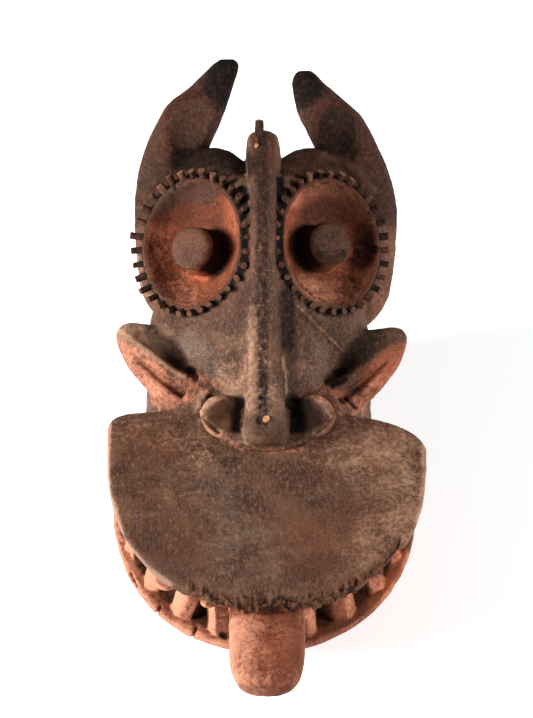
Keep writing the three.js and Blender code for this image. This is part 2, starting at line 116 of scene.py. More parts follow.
# A closed mesh through a stack of rings, capped at both ends
def stackMesh(rings):
    rings = np.array(rings)
    levels, count = rings.shape[:2]
    points = np.vstack([rings.reshape(-1, 3), rings[0].mean(0), rings[-1].mean(0)])
    near = np.arange(count)
    far = (near + 1) % count
    rows = np.arange(levels - 1)[:, None] * count
    quads = np.stack([rows + near, rows + far, rows + far + count, rows + near + count], -1).reshape(-1, 4)
    last = (levels - 1) * count
    low = np.stack([far, near, np.full(count, levels * count)], -1)
    high = np.stack([last + near, last + far, np.full(count, levels * count + 1)], -1)
    return points, quads, np.vstack([low, high])


def ballMesh(centre, radii, count=40):
    cosine, sine = around(count)
    levels, poleShare = 24, 0.498
    return stackMesh([viewPoint(centre[0] + radii[0] * math.cos(tilt) * cosine,
                                centre[1] + radii[1] * math.sin(tilt),
                                centre[2] + radii[2] * math.cos(tilt) * sine)
                      for tilt in np.linspace(-poleShare, poleShare, levels) * math.pi])


# The block of wood is a lattice of distances to its surface, negative inside

lattice = {"voxel": 1.4, "band": 8.4, "margin": 7, "low": [-152, -366, -12],
           "high": [156, 224, 312]}
voxel, band = lattice["voxel"], lattice["band"]
start = np.floor(np.array(lattice["low"]) / voxel).astype(int)
count = np.ceil(np.array(lattice["high"]) / voxel).astype(int) - start
wood = np.full(count, band, np.float32)


def distancesTo(mesh):
    points, quads, triangles = mesh
    low = np.maximum(np.floor(points.min(0) / voxel).astype(int) - lattice["margin"], start)
    high = np.minimum(np.ceil(points.max(0) / voxel).astype(int) + lattice["margin"] + 1, start + count)
    grid = vdb.FloatGrid.createLevelSetFromPolygons(
        points.astype(np.float32), triangles=triangles.astype(np.uint32), quads=quads.astype(np.uint32),
        transform=vdb.createLinearTransform(voxelSize=voxel), halfWidth=band / voxel)
    field = np.empty(high - low, np.float32)
    grid.copyToArray(field, ijk=tuple(int(i) for i in low))
    return SimpleNamespace(low=low, field=field)


def places(part):
    x, y, z = [(part.low[i] + np.arange(part.field.shape[i])) * voxel for i in range(3)]
    return x[:, None, None], y[None, :, None], z[None, None, :]


def softMin(a, b, blend):
    share = np.clip(0.5 + 0.5 * (b - a) / blend, 0, 1)
    mixed = b + (a - b) * share - blend * share * (1 - share)
    return np.where(np.minimum(a, b) > band * 0.98, band, mixed).astype(np.float32)


# The same cells in two fields, as slices of each
def overlap(low, shape, otherLow, otherShape):
    first, last = np.maximum(low, otherLow), np.minimum(np.add(low, shape), np.add(otherLow, otherShape))
    return [tuple(slice(a, b) for a, b in zip(first - base, last - base)) for base in (low, otherLow)]


def add(part, blend=1.0):
    where, _ = overlap(start, wood.shape, part.low, part.field.shape)
    wood[where] = softMin(wood[where], part.field, blend)


def cut(part, blend=1.0):
    where, _ = overlap(start, wood.shape, part.low, part.field.shape)
    wood[where] = -softMin(-wood[where], part.field, blend)


# Bell, cheeks and brows

bell = {"centreX": -4, "halfWidth": 100.5, "halfLength": 119, "wall": 15.5}
bellOutside = ("y z tilt inset", [
    (0, 0, 0, -3),
    (0, 55, 0, 0),
    (0, 92, 0, 0),
    (2, 128, 14, 0),
    (9, 156, 25, 6.5),
    (17, 175, 32, 22),
    (24, 184, 33, 51),
])
bellInside = ("y z tilt inset", [
    (0, -5, 0, bell["wall"] - 1),
    (0, 60, 0, bell["wall"]),
    (2, 105, 8, bell["wall"] + 6),
    (7, 136, 18, bell["wall"] + 20),
    (12, 152, 24, bell["wall"] + 42),
    (15, 158, 24, bell["wall"] + 62),
])


def bellMesh(stations):
    cosine, sine = around(96)
    rings = []
    for s in between(stations, 6):
        lean = math.radians(s.tilt)
        length = bell["halfLength"] - s.inset
        rings.append(np.stack([bell["centreX"] + (bell["halfWidth"] - s.inset) * cosine,
                               s.y + length * sine * math.cos(lean),
                               s.z + length * sine * math.sin(lean)], -1))
    return stackMesh(rings)


cheekStations = ("up half crest edge under", [
    (-16, 24, 20, 6, -26),
    (4, 35, 25, 3, -40),
    (22, 54, 28, -4, -48),
    (44, 69, 30, -9, -56),
    (88, 84, 32, -15, -66),
    (125, 83, 32, -16, -70),
    (172, 62, 28, -8, -66),
    (205, 34, 20, 0, -60),
])


def cheekMesh():
    rings = []
    for s in between(cheekStations, 5):
        right = [(s.half * 0.5, (s.crest + s.edge) / 2 + 4), (s.half, s.edge), (s.half, s.edge - 9),
                 (s.half * 0.86, s.under * 0.7), (s.half * 0.55, s.under)]
        section = finer([(0, s.crest)] + right + [(-across, out) for across, out in reversed(right)], 4)
        rings.append(facePoint(section[:, 0], s.up, section[:, 1]))
    return stackMesh(rings)


drumStations = ("out up wider taller", [
    (0, 0, 0, 0),
    (-7, 1, 3, 3),
    (-17, 10, 6, 13),
    (-31, 14.5, 7, 18.5),
    (-51, 12, 3, 12),
    (-79, -2, -9, -9),
])
dishStations = ("out share", [
    (5, 1.04),
    (0, 1),
    (-0.42 * eye["depth"], 0.86),
    (-0.8 * eye["depth"], 0.62),
    (-eye["depth"], 0.34),
])


def drumMesh(side):
    cosine, sine = around(72)
    half, tall = eye["halfWidth"] + eye["wall"], eye["halfHeight"] + eye["wall"]
    return stackMesh([eyePoint(side, (half + s.wider) * cosine, s.up + (tall + s.taller) * sine, s.out)
                      for s in between(drumStations, 5)])


def dishMesh(side):
    cosine, sine = around(72)
    wide, tall = eye["halfWidth"], eye["halfHeight"]
    return stackMesh([eyePoint(side, wide * s.share * cosine, tall * s.share * sine, s.out)
                      for s in between(dishStations, 5)])


pupil = {"radius": 19.2, "height": 6, "lift": {-1: -4, 1: 0}}


def pupilMesh(side):
    cosine, sine = around(48)
    radius, height, lift = pupil["radius"], pupil["height"], pupil["lift"][side]
    stations = [(-eye["depth"] - 12, radius + 4), (-eye["depth"] + 6, radius + 1.5), (height - 4, radius),
                (height - 2, radius - 1.1), (height - 0.8, radius - 3), (height, radius - 8)]
    return stackMesh([eyePoint(side, across * cosine, lift + across * sine, out) for out, across in stations])


ridgeStations = ("up half top foot aside", [
    (-45, 11, 27, 0, 2),
    (-41, 16, 36, -8, 2),
    (-30, 17.5, 43, -12, 2),
    (0, 16, 43, -10, 1.5),
    (44, 14.5, 42, 0, 0.5),
    (90, 12, 42, 5, 0),
    (140, 10.5, 42, 0, 0),
    (190, 11, 42, -20, 0),
    (224, 14, 40, -30, 0),
    (237, 12, 36, -24, 0),
    (242, 6, 28, -10, 0),
])


def ridgeMesh():
    rings = []
    for s in between(ridgeStations, 5):
        right = [(s.half * 0.72, s.top - 2.5), (s.half, s.top - 9), (s.half * 1.12, s.foot)]
        section = finer([(-across, out) for across, out in reversed(right)] + [(0, s.top)] + right, 4)
        rings.append(facePoint(section[:, 0] + s.aside, s.up, section[:, 1]))
    return stackMesh(rings)


# Horns, broad up to the shoulder and then tapered to a blunt tip

hornStations = {
    -1: ("up across half deep", [
        (122, -78, 12, 12),
        (146, -84, 24, 18),
        (195, -88, 27, 20),
        (240, -87, 28, 21),
        (275, -78.8, 28.4, 21),
        (307, -64.4, 28, 20),
        (320, -57.6, 25.5, 18),
        (333, -47, 19, 14),
        (352.5, -34.4, 12, 11),
        (358.5, -32.5, 6.5, 6),
    ]),
    1: ("up across half deep", [
        (119, 86, 9, 9),
        (133, 87, 20, 16),
        (155, 90, 25, 19),
        (204, 92.8, 27.8, 20),
        (240, 90, 28, 21),
        (270, 79.8, 28.4, 21),
        (302, 64, 28.2, 20),
        (314, 56.6, 25.7, 18),
        (334, 42.6, 15.6, 12),
        (343, 38.8, 10.6, 9),
        (348, 37.6, 5.5, 5),
    ]),
}
hornTowards = (50, 62)
hornScoop = {"places": [(-63, 300), (67, 294)], "towards": 80, "radii": (25, 33, 9)}


def hornMesh(side):
    cosine, sine = around(48)
    rows = hornStations[side][1]
    rings = []
    for s in between(hornStations[side], 4):
        towards = np.interp(s.up, (rows[0][0], rows[-1][0]), hornTowards)
        rings.append(viewPoint(s.across + s.half * cosine, s.up, towards + s.deep * sine))
    return stackMesh(rings)


# Ears, leaves with a hollow above an edge and a groove below it

ear = {"root": (66, 62, 112), "tip": (131.5, 109, 105), "rightShift": (-2.5, -3, -3)}
earLeaf = ("along centre tall deep forward", [
    (-18, 4, 27, 20, 0),
    (20, 5, 29, 19, 0),
    (36, 6, 28, 18, 0),
    (52, 6, 24, 16, 0),
    (66, 5.5, 17.5, 13, 0),
    (78, 6.5, 9.7, 8, 0),
    (83, 6.3, 4, 4, 0),
])
earHollow = ("along centre tall deep forward", [
    (-4, 18, 9, 13, 18),
    (24, 18, 12, 16, 18),
    (46, 17.5, 10.5, 11, 15),
    (68, 12, 5, 6, 12),
])
earGroove = ("along centre tall deep forward", [
    (-2, -8, 5, 11, 18),
    (26, -8, 4.5, 8, 17),
    (56, -6, 2, 4, 14),
])


def earMesh(side, stations):
    cosine, sine = around(40)
    root, tip = viewPoint(*ear["root"]), viewPoint(*ear["tip"])
    axis = (tip - root) / np.linalg.norm(tip - root)
    upright = np.cross(viewPoint(0, 0, 1), axis)
    upright /= np.linalg.norm(upright)
    front = np.cross(axis, upright)
    rings = []
    for s in between(stations, 5):
        ring = (root + axis * s.along + np.outer(s.centre + s.tall * cosine, upright)
                + np.outer(s.forward + s.deep * sine, front))
        ring[:, 0] *= side
        rings.append(ring + (np.array(ear["rightShift"]) if side > 0 else 0))
    return stackMesh(rings)


# Jaws, teeth and tongue

jawMiddleY = -110
upperJaw = {"centreX": 3.5, "halfWidth": 143.5, "front": 179, "back": 52, "top": 118, "thickness": 24,
            "fall": 0.06, "square": {"frontLeft": 2.25, "frontRight": 2.35, "backLeft": 7, "backRight": 2.35}}
lowerJaw = {"centreX": 1.5, "halfWidth": 135.5, "front": 175, "back": 50, "height": 44, "bevel": 44,
            "square": {"frontLeft": 2.14, "frontRight": 2.1, "backLeft": 6, "backRight": 3}}
mouth = {"foot": lowerJaw["height"] - 8, "head": upperJaw["top"] - upperJaw["thickness"],
         "closedBehind": -175, "teethFoot": 26, "teethHead": 36, "sideInset": 9, "sideWaist": 12}


def jawRing(jaw, inset, z):
    cosine, sine = around(160)
    front, left = sine < 0, cosine < 0
    square = jaw["square"]
    power = 2 / np.where(front, np.where(left, square["frontLeft"], square["frontRight"]),
                         np.where(left, square["backLeft"], square["backRight"]))
    reach = np.where(front, jaw["front"], jaw["back"]) - inset
    x = jaw["centreX"] + (jaw["halfWidth"] - inset) * np.sign(cosine) * np.abs(cosine) ** power
    y = jawMiddleY + reach * np.sign(sine) * np.abs(sine) ** power
    return np.stack([x, y, np.full(len(x), float(z))], -1)


# The plate's edge from below to above, as (height, distance inside the outline)
upperJawEdge = ((-24, 22), (-21, 14), (-18, 8), (-11, 2), (-7, 0.6), (-4, 0), (-2, 0.4), (-1, 1), (-0.3, 2.2),
                (0, 4), (0, 40), (0, 90))
# The tray's side from its flat underside to its rim, as shares of the height and of the bevel
lowerJawSide = ((0.2, 0.74), (0.5, 0.38), (0.8, 0.08))


def upperJawMesh():
    rings = []
    for z, inset in upperJawEdge:
        ring = jawRing(upperJaw, inset, upperJaw["top"] + z)
        ring[:, 2] += upperJaw["fall"] * (ring[:, 1] - jawMiddleY - upperJaw["back"])
        rings.append(ring)
    return stackMesh(rings)


def lowerJawMesh():
    height, bevel = lowerJaw["height"], lowerJaw["bevel"]
    stations = [(0, bevel + 8)] + [(height * up, bevel * inwards) for up, inwards in lowerJawSide]
    stations += [(height - 5, 0.8), (height - 2, 0), (height - 0.6, 0.6), (height, 2)]
    return stackMesh([jawRing(lowerJaw, inset, z) for z, inset in stations])


def teethWallMesh():
    return stackMesh([jawRing(lowerJaw, mouth["teethFoot"], mouth["foot"]),
                      jawRing(lowerJaw, mouth["teethHead"], mouth["head"])])


def mouthSides():
    foot, head = mouth["foot"], mouth["head"]
    stations = ((foot, mouth["sideInset"]), ((foot + head) / 2, mouth["sideWaist"]),
                (head, mouth["sideInset"]))
    part = distancesTo(stackMesh([jawRing(lowerJaw, inset, z) for z, inset in stations]))
    x, y, z = places(part)
    part.field = np.maximum(part.field, mouth["closedBehind"] - y).astype(np.float32)
    return part


tooth = {"edgeHalfWidth": 1, "gable": 5.5, "depth": 36, "footInset": 3.5, "headInset": 16}
# Where each tooth's foot is, how far it leans sideways, and half its width
toothPlaces = [(-124, 8, 10), (-106, 10, 12), (-79, 16, 12.5), (-42, -2, 10.5), (40, -2, 11), (78, -8, 13),
               (108, -10, 12), (124, -9, 10)]


def jawFront(across, inset, z):
    share = (across - lowerJaw["centreX"]) / (lowerJaw["halfWidth"] - inset)
    reach = (lowerJaw["front"] - inset) * math.sqrt(max(1 - share * share, 0))
    return np.array([across, jawMiddleY - reach, z])


def toothMesh(across, lean, halfWidth):
    foot = jawFront(across, tooth["footInset"], lowerJaw["height"] - 4)
    head = jawFront(across + lean, tooth["headInset"], mouth["head"] + 2)
    inwards = np.array([(lowerJaw["centreX"] - foot[0]) / lowerJaw["halfWidth"] ** 2,
                        (jawMiddleY - foot[1]) / lowerJaw["front"] ** 2, 0])
    inwards /= np.linalg.norm(inwards)
    aside = np.array([-inwards[1], inwards[0], 0])
    edge, gable, depth = tooth["edgeHalfWidth"], tooth["gable"], tooth["depth"]
    section = [(-edge, 0), (edge, 0), (halfWidth, gable), (halfWidth, depth), (-halfWidth, depth),
               (-halfWidth, gable)]
    return stackMesh([[end + aside * wide + inwards * deep for wide, deep in section]
                      for end in (foot, head)])


tongue = {"centreX": 3.5, "halfWidth": 33.5, "thick": 27, "rootY": -235, "rootTop": 89, "tipY": -356,
          "tipTop": 77}
tongueStations = ("share half dip", [
    (0, 0.97, 0),
    (0.5, 1, 0),
    (0.74, 0.98, 0),
    (0.86, 0.89, 0.02),
    (0.94, 0.74, 0.12),
    (0.98, 0.55, 0.3),
    (1, 0.34, 0.5),
])


def tongueMesh():
    cosine, sine = around(56)
    wide = np.sign(cosine) * np.abs(cosine) ** 0.7
    tall = np.sign(sine) * np.abs(sine) ** np.where(sine > 0, 0.95, 0.6)
    rings = []
    for s in between(tongueStations, 5):
        top = tongue["rootTop"] + (tongue["tipTop"] - tongue["rootTop"]) * s.share
        high = top - tongue["thick"] * s.dip * 0.8
        low = top - tongue["thick"] * (1 - s.dip * 0.35)
        y = tongue["rootY"] + (tongue["tipY"] - tongue["rootY"]) * s.share
        rings.append(np.stack([tongue["centreX"] + tongue["halfWidth"] * s.half * wide,
                               np.full(len(wide), y), (high + low) / 2 + (high - low) / 2 * tall], -1))
    return stackMesh(rings)


# The nostrils are a low bowl round the foot of the nose, with a cup at each end and hollows sloping inwards

nostrils = {"across": 4, "up": 49.5, "towards": 160.5, "front": 3, "radii": (60, 43, 34), "topDown": 13,
            "rim": 4, "hollowDepth": 13, "hollowLift": 34, "hollowDown": 5}
nostrilCup = {"across": 40, "down": 12, "radii": (20, 18.5, 24)}
nostrilBowl = {"across": 22, "down": 12.5, "width": 34, "height": 17.5, "depth": 18, "lift": 12}


def belowLevel(part, level):
    x, y, z = places(part)
    part.field = np.maximum(part.field, diagonal * (y + z) - level).astype(np.float32)
    return part


def nostrilSolid():
    across, up, towards = nostrils["across"], nostrils["up"], nostrils["towards"]
    part = distancesTo(ballMesh((across, up, towards), nostrils["radii"], 72))
    part = belowLevel(part, up - nostrils["topDown"])
    for side in bothSides:
        cup = distancesTo(ballMesh((across + side * nostrilCup["across"], up - nostrilCup["down"], towards),
                                   nostrilCup["radii"], 48))
        mine, its = overlap(part.low, part.field.shape, cup.low, cup.field.shape)
        part.field[mine] = softMin(part.field[mine], cup.field[its], 3)
    x, y, z = places(part)
    ahead = diagonal * (z - y) - (towards + nostrils["front"])
    part.field = -softMin(-part.field, -ahead.astype(np.float32), 2)
    return part


# The end of a ball whose middle lies ahead of the nostrils' front, so that the sides slope gently
def hollowMesh(across, up, width, height, deep, lift):
    widen = 1 / math.sqrt(1 - (lift / (lift + deep)) ** 2)
    middle = (across, up, nostrils["towards"] + nostrils["front"] + lift)
    return ballMesh(middle, (width * widen, height * widen, lift + deep), 72)


def nostrilHollows():
    across, up, bowl = nostrils["across"], nostrils["up"], nostrilBowl
    wide, tall = [radius - nostrils["rim"] for radius in nostrils["radii"][:2]]
    tray = hollowMesh(across, up, wide, tall, nostrils["hollowDepth"], nostrils["hollowLift"])
    bowls = [hollowMesh(across + side * bowl["across"], up - bowl["down"], bowl["width"], bowl["height"],
                        bowl["depth"], bowl["lift"]) for side in bothSides]
    return [belowLevel(distancesTo(tray), up - nostrils["hollowDown"])] + [distancesTo(b) for b in bowls]


# Stumps that hang from the upper jaw where its edge has broken, as (across, up, towards) seen in the picture
splinterLumps = {
    "beforeFirstTooth": {"at": (-86, -112, 234), "radii": (10, 7, 8)},
    "beforeThirdTooth": {"at": (-48.5, -128, 252), "radii": (8, 6, 7)},
    "byRightCorner": {"at": (103, -104, 238), "radii": (9, 6, 7)},
}


# The block takes shape: masses, then hollows, then what stands in the hollows. The last number is how softly
# each meets the wood that is there.

add(distancesTo(bellMesh(bellOutside)))
for side in bothSides:
    add(distancesTo(earMesh(side, earLeaf)), 7)
for side in bothSides:
    cut(distancesTo(earMesh(side, earHollow)), 2.5)
    cut(distancesTo(earMesh(side, earGroove)), 1.5)
for side in bothSides:
    add(distancesTo(hornMesh(side)), 5)
add(distancesTo(cheekMesh()), 4)
for side in bothSides:
    add(distancesTo(drumMesh(side)), 3)
add(distancesTo(upperJawMesh()), 4)
add(distancesTo(lowerJawMesh()), 3)
add(distancesTo(teethWallMesh()), 2)
add(mouthSides(), 2)
add(nostrilSolid(), 2)
print("masses joined")

cut(distancesTo(bellMesh(bellInside)), 3)
for hollow in nostrilHollows():
    cut(hollow, 2)
for side in bothSides:
    cut(distancesTo(dishMesh(side)), 2.5)
for across, up in hornScoop["places"]:
    cut(distancesTo(ballMesh((across, up, hornScoop["towards"]), hornScoop["radii"])), 1.2)
print("hollows cut")

add(distancesTo(ridgeMesh()), 3)
for side in bothSides:
    add(distancesTo(pupilMesh(side)), 3)
for place in toothPlaces:
    add(distancesTo(toothMesh(*place)), 0.8)
add(distancesTo(tongueMesh()), 1.5)
for lump in splinterLumps.values():
    add(distancesTo(ballMesh(lump["at"], lump["radii"], 24)), 2)
print("ridge, pupils, teeth and tongue added")


def soften(field, times):
    for _ in range(times):
        for axis in range(3):
            field = (2 * field + np.roll(field, 1, axis) + np.roll(field, -1, axis)) * 0.25
    return field


wood = soften(wood, 1)
wood = np.maximum(wood, -places(SimpleNamespace(low=start, field=wood))[2]).astype(np.float32)


# What a lattice says at places between its own points
def betweenCells(cell, share, valueAt):
    total = 0
    for corner in range(8):
        pick = np.array([corner >> 2 & 1, corner >> 1 & 1, corner & 1])
        total = total + np.prod(np.where(pick, share, 1 - share), axis=1) * valueAt(*(cell + pick).T)
    return total


# Distances to the surface, read from a broad or a fine average
def reading(field, step):
    def at(points):
        where = (points / voxel - start) / step
        cell = np.clip(np.floor(where).astype(int), 0, np.array(field.shape) - 2)
        return betweenCells(cell, where - cell, lambda i, j, k: field[i, j, k])
    return at


fineAverage = reading(soften(wood[::2, ::2, ::2], 2), 2)
broadAverage = reading(soften(wood[::4, ::4, ::4], 3), 4)

grid = vdb.FloatGrid(band)
grid.copyFromArray(wood, ijk=tuple(int(i) for i in start))
grid.transform = vdb.createLinearTransform(voxelSize=voxel)
points, triangles, quads = grid.convertToPolygons(isovalue=0.0, adaptivity=0.0)
print("surface of the block:", len(points), "points")


def meshFrom(name, points, faces):
    mesh = bpy.data.meshes.new(name)
    mesh.vertices.add(len(points))
    mesh.vertices.foreach_set("co", np.asarray(points, np.float32).ravel())
    mesh.loops.add(sum(group.size for group in faces))
    corners = np.concatenate([group.ravel() for group in faces])
    mesh.loops.foreach_set("vertex_index", corners.astype(np.int32))
    mesh.polygons.add(sum(len(group) for group in faces))
    sizes = np.concatenate([np.full(len(group), group.shape[1]) for group in faces])
    mesh.polygons.foreach_set("loop_start", np.concatenate([[0], np.cumsum(sizes)[:-1]]).astype(np.int32))
    mesh.update(calc_edges=True)
    mesh.validate()
    return mesh


def addObject(name, data):
    added = bpy.data.objects.new(name, data)
    bpy.context.scene.collection.objects.link(added)
    return added


# What a modifier makes becomes the object's own mesh
def makePlain(piece, modifier):
    plain = bpy.data.meshes.new_from_object(piece.evaluated_get(bpy.context.evaluated_depsgraph_get()))
    piece.modifiers.remove(modifier)
    piece.data = plain


# From the carver's frame to the frame of the solids, in metres
carverLow = np.array([upperJaw["centreX"] - upperJaw["halfWidth"], tongue["tipY"], 0]) / 1000
shift = np.array(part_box("carved_mask")[0]) - carverLow


# Surface marks

def softNoise(points, size, seed):
    cells, seedStep = 32, 7.31
    table = np.random.default_rng(seed).random((cells, cells, cells)).astype(np.float32) * 2 - 1
    where = points / size + seed * seedStep
    cell = np.floor(where).astype(int)
    share = where - cell
    share = share * share * (3 - 2 * share)
    last = cells - 1
    return betweenCells(cell, share, lambda i, j, k: table[i & last, j & last, k & last])


def roughNoise(points, size, seed):
    return (softNoise(points, size, seed) + 0.5 * softNoise(points, size / 2.1, seed + 1)
            + 0.25 * softNoise(points, size / 4.3, seed + 2)) / 1.3


# Scallops left by a blade: 0 in the middle of each and 1 on the edge between two
def bladeMarks(points, size, seed):
    cells = 16
    table = np.random.default_rng(seed).random((cells, cells, cells, 3))
    last = cells - 1
    where = points / size
    cell = np.floor(where).astype(int)
    nearest = np.full(len(points), 9.0)
    for corner in range(27):
        index = cell + np.array([corner // 9 - 1, corner // 3 % 3 - 1, corner % 3 - 1])
        jitter = table[index[:, 0] & last, index[:, 1] & last, index[:, 2] & last]
        nearest = np.minimum(nearest, ((index + jitter - where) ** 2).sum(1))
    return np.clip(nearest, 0, 1)


# Each noise's stretch along X, Y and Z if it has one, its size in millimetres and its seed
noises = {
    "lump": (None, 22, 3),
    "grain": ((1, 0.45, 1), 5, 7),
    "crustSide": (None, 30, 11),
    "crustLumps": (None, 4.2, 13),
    "crustCrumbs": (None, 2.6, 15),
    "streaks": ((1, 0.4, 0.4), 3.4, 27),
    "dish": (None, 6, 17),
    "dishEdge": (None, 7, 29),
    "fibres": ((1, 0.3, 0.6), 4.5, 19),
    "pits": ((1, 0.6, 0.8), 3.4, 31),
}


def noiseOf(name, points, kind=roughNoise):
    stretch, size, seed = noises[name]
    return kind(points * stretch if stretch else points, size, seed)


# From 0 at the low value to 1 at the high one, gently at both ends
def ramp(value, low, high):
    share = np.clip((value - low) / (high - low), 0, 1)
    return share * share * (3 - 2 * share)


def fall(value, low, high):
    return 1 - ramp(value, low, high)


sight = {"square": 4, "left": 200, "below": 300, "columns": 110, "rows": 180, "hidden": (10, 18)}


# Where each point lies: in the picture, on the face and in each eye
def readPlaces(points):
    x, y, z = points.T
    here = SimpleNamespace(x=x, y=y, z=z, beside=np.abs(x), forward=-y, up=diagonal * (y + z),
                           towards=diagonal * (z - y))
    cosine, sine = math.cos(face["slope"]), math.sin(face["slope"])
    alongY, alongZ = y - face["footY"], z - face["footZ"]
    here.faceUp = alongY * cosine + alongZ * sine
    here.faceOut = alongZ * cosine - alongY * sine
    cosine, sine = math.cos(eye["yaw"]), math.sin(eye["yaw"])
    here.eyes = []
    for side in bothSides:
        turned = side * x - eye["across"][side]
        aside = turned * cosine - here.faceOut * sine
        out = turned * sine + here.faceOut * cosine
        above = here.faceUp - eye["up"]
        ring = np.hypot(aside / eye["halfWidth"], above / eye["halfHeight"])
        fromPupil = np.hypot(aside, above - pupil["lift"][side])
        here.eyes.append(SimpleNamespace(aside=aside, out=out, deep=-out, ring=ring, inwards=1 - ring,
                                         fromPupil=fromPupil))
    # The nearest surface to the viewer in each small square, so that marks don't reach what is hidden behind
    column = np.floor((x + sight["left"]) / sight["square"]).astype(int)
    row = np.floor((here.up + sight["below"]) / sight["square"]).astype(int)
    nearest = np.full((sight["columns"], sight["rows"]), -999.0)
    np.maximum.at(nearest, (column, row), here.towards)
    here.hidden = ramp(nearest[column, row] - here.towards, *sight["hidden"])
    return here


# How near each point is to a line drawn in the picture: 1 on it and 0 beyond its width
def nearLine(here, line, width):
    nearest = np.full(len(here.x), 1e9)
    corners = [inPicture(*corner) for corner in line]
    for (ax, ay), (bx, by) in zip(corners[:-1], corners[1:]):
        length = (bx - ax) ** 2 + (by - ay) ** 2 + 1e-9
        share = np.clip(((here.x - ax) * (bx - ax) + (here.up - ay) * (by - ay)) / length, 0, 1)
        away = np.hypot(here.x - ax - share * (bx - ax), here.up - ay - share * (by - ay))
        nearest = np.minimum(nearest, away)
    return fall(nearest, 0.25 * width, width) * (1 - here.hidden)


# Zones as steps along what readPlaces says: from where a step begins to where it is full, either way round
zones = {
    "noseCrust": [("faceOut", 34, 37), ("faceUp", -44, -30)],
    "ridgeTop": [("beside", 12, 9), ("faceOut", 28, 34), ("faceUp", 30, 90)],
    "lowNose": [("faceUp", 90, 20)],
    "dishFloor": [("inwards", 0, 0.06), ("deep", -2, 3), ("fromPupil", pupil["radius"], pupil["radius"] + 3)],
    "plateEdge": [("z", 84, 90), ("z", 128, 126), ("forward", 150, 170)],
    "brokenFront": [("x", -75, -55), ("x", 100, 84)],
    "chippedCorner": [("x", 84, 96), ("x", 128, 122), ("forward", 200, 215)],
    "below": [("z", 94, 86)],
    "inFront": [("forward", 60, 120)],
    "onRight": [("x", -10, 20)],
    "plateTop": [("z", 92, 100), ("forward", 20, 40), ("faceOut", 8, -2)],
    "earInside": [("beside", 76, 96), ("towards", 95, 106), ("up", 112, 96), ("up", 48, 58)],
    "earTop": [("beside", 70, 90), ("towards", 60, 90), ("up", 78, 92), ("up", 126, 118)],
    "dish": [("deep", -5, 0), ("out", -42, -36)],
    "dishRim": [("ring", 0.95, 1), ("ring", 1.1, 1.04), ("out", -14, -5)],
    "pupilFace": [("fromPupil", pupil["radius"] + 3, pupil["radius"] - 1),
                  ("out", pupil["height"] - 9, pupil["height"] - 4)],
    "pupilShadow": [("aside", 6, -12), ("fromPupil", pupil["radius"] + 16, pupil["radius"]), ("deep", -5, 4)],
    # The ring between each eye's pegs, painted dark as painted shade
    "pegRing": [("ring", 1.04, 1.08), ("ring", 1.24, 1.12), ("out", -26, -10)],
    "horn": [("up", 195, 215), ("beside", 20, 40)],
    "hornFront": [("towards", 60, 66)],
    "cheeks": [("faceUp", 75, 20), ("z", 118, 126), ("faceOut", -30, -5)],
    "aboveRim": [("z", 40, 44)],
    "underPlate": [("z", 96, 93)],
    "tongueFront": [("forward", 275, 285)],
    # The tongue's left side is painted lighter and its right side darker, as painted light and shade
    "tongueLeft": [("x", 24, -30)],
    "tongueRight": [("x", 0, 34)],
    "ridgeUpper": [("beside", 13, 10), ("faceOut", 26, 32), ("faceUp", 100, 180)],
    "nostrilFloor": [("towards", 164, 156)],
    "outerDish": [("aside", 20, 40)],
}


def zone(name, where, share=1):
    for reads, begin, full in zones[name]:
        value = getattr(where, reads)
        share = share * (ramp(value, begin, full) if begin < full else fall(value, full, begin))
    return share


# Lines in the picture's pixels after the width and height in millimetres; a negative height is a cut
markLines = {
    "cheekCrease": (3.2, 2.2, [(301, 310), (322, 330), (342, 351)]),
    "cheekBesideCrease": (12, -1, [(314, 306), (330, 322)]),
    "nostrilLip": (3, 1.1, [(203, 412), (209, 428), (226, 442), (246, 449), (266, 451), (299, 449),
                            (325, 433), (334, 416)]),
    "leftNostrilSlit": (2.6, -3.6, [(204, 418), (211, 426), (219, 432)]),
    "rightNostrilSlit": (2.4, -3.2, [(317, 431), (325, 427), (330, 421)]),
    "rimCrackOuter": (1.7, -3.4, [(131, 573), (137, 586)]),
    "rimCrackMiddle": (1.7, -3.4, [(161, 606), (156, 614), (151, 616)]),
    "rimCrackInner": (1.6, -3, [(197, 627), (191, 640)]),
    "pupilCrack": (1.6, -1.8, [(333, 231), (341, 233), (348, 239)]),
    "dishChip": (6, -3, [(366, 246), (374, 248)]),
    "dishKnob": (3, 2.4, [(374, 243), (376, 244)]),
    "dishBump": (7, 1.4, [(356, 276), (361, 280)]),
    "rightEarSlit": (2.2, -3, [(346, 399), (356, 409)]),
    "plateDentRight": (3.4, -0.8, [(384, 455), (391, 459)]),
}
relief = {"outwards": 0.7, "bladeSize": 13, "bladeDepth": 0.45, "bladeMiddle": 0.4, "deeperBehind": 1.2,
          "lump": 0.7, "grain": 0.3, "crustSide": (3, 7.5), "crust": 1.1,
          "streaks": 1.2, "noseGroove": 1.6, "dish": 0.5, "brokenEdge": 5, "deepest": -6, "boxGap": 0.05}


# How far inside a jaw's outline each point is
def insideJaw(here, jaw):
    x = (here.x - jaw["centreX"]) / jaw["halfWidth"]
    y = (here.y - jawMiddleY) / jaw["front"]
    power = np.where(x < 0, jaw["square"]["frontLeft"], jaw["square"]["frontRight"])
    share = (np.abs(x) ** power + np.abs(np.minimum(y, 0)) ** power) ** (1 / power)
    return (1 - share) * jaw["halfWidth"]


# 1 on the teeth and 0 between them
def onTeeth(here):
    total = 0
    share = ramp(here.z, lowerJaw["height"], mouth["head"])
    for across, lean, halfWidth in toothPlaces:
        foot = jawFront(across, tooth["footInset"], lowerJaw["height"])
        away = np.array([-(foot[1] - jawMiddleY) / lowerJaw["front"] ** 2,
                         (foot[0] - lowerJaw["centreX"]) / lowerJaw["halfWidth"] ** 2])
        away /= np.linalg.norm(away)
        aside = (here.x - foot[0] - lean * share) * away[0] + (here.y - foot[1]) * away[1]
        total = np.maximum(total, fall(np.abs(aside), halfWidth - 0.5, halfWidth + 1.5))
    return total


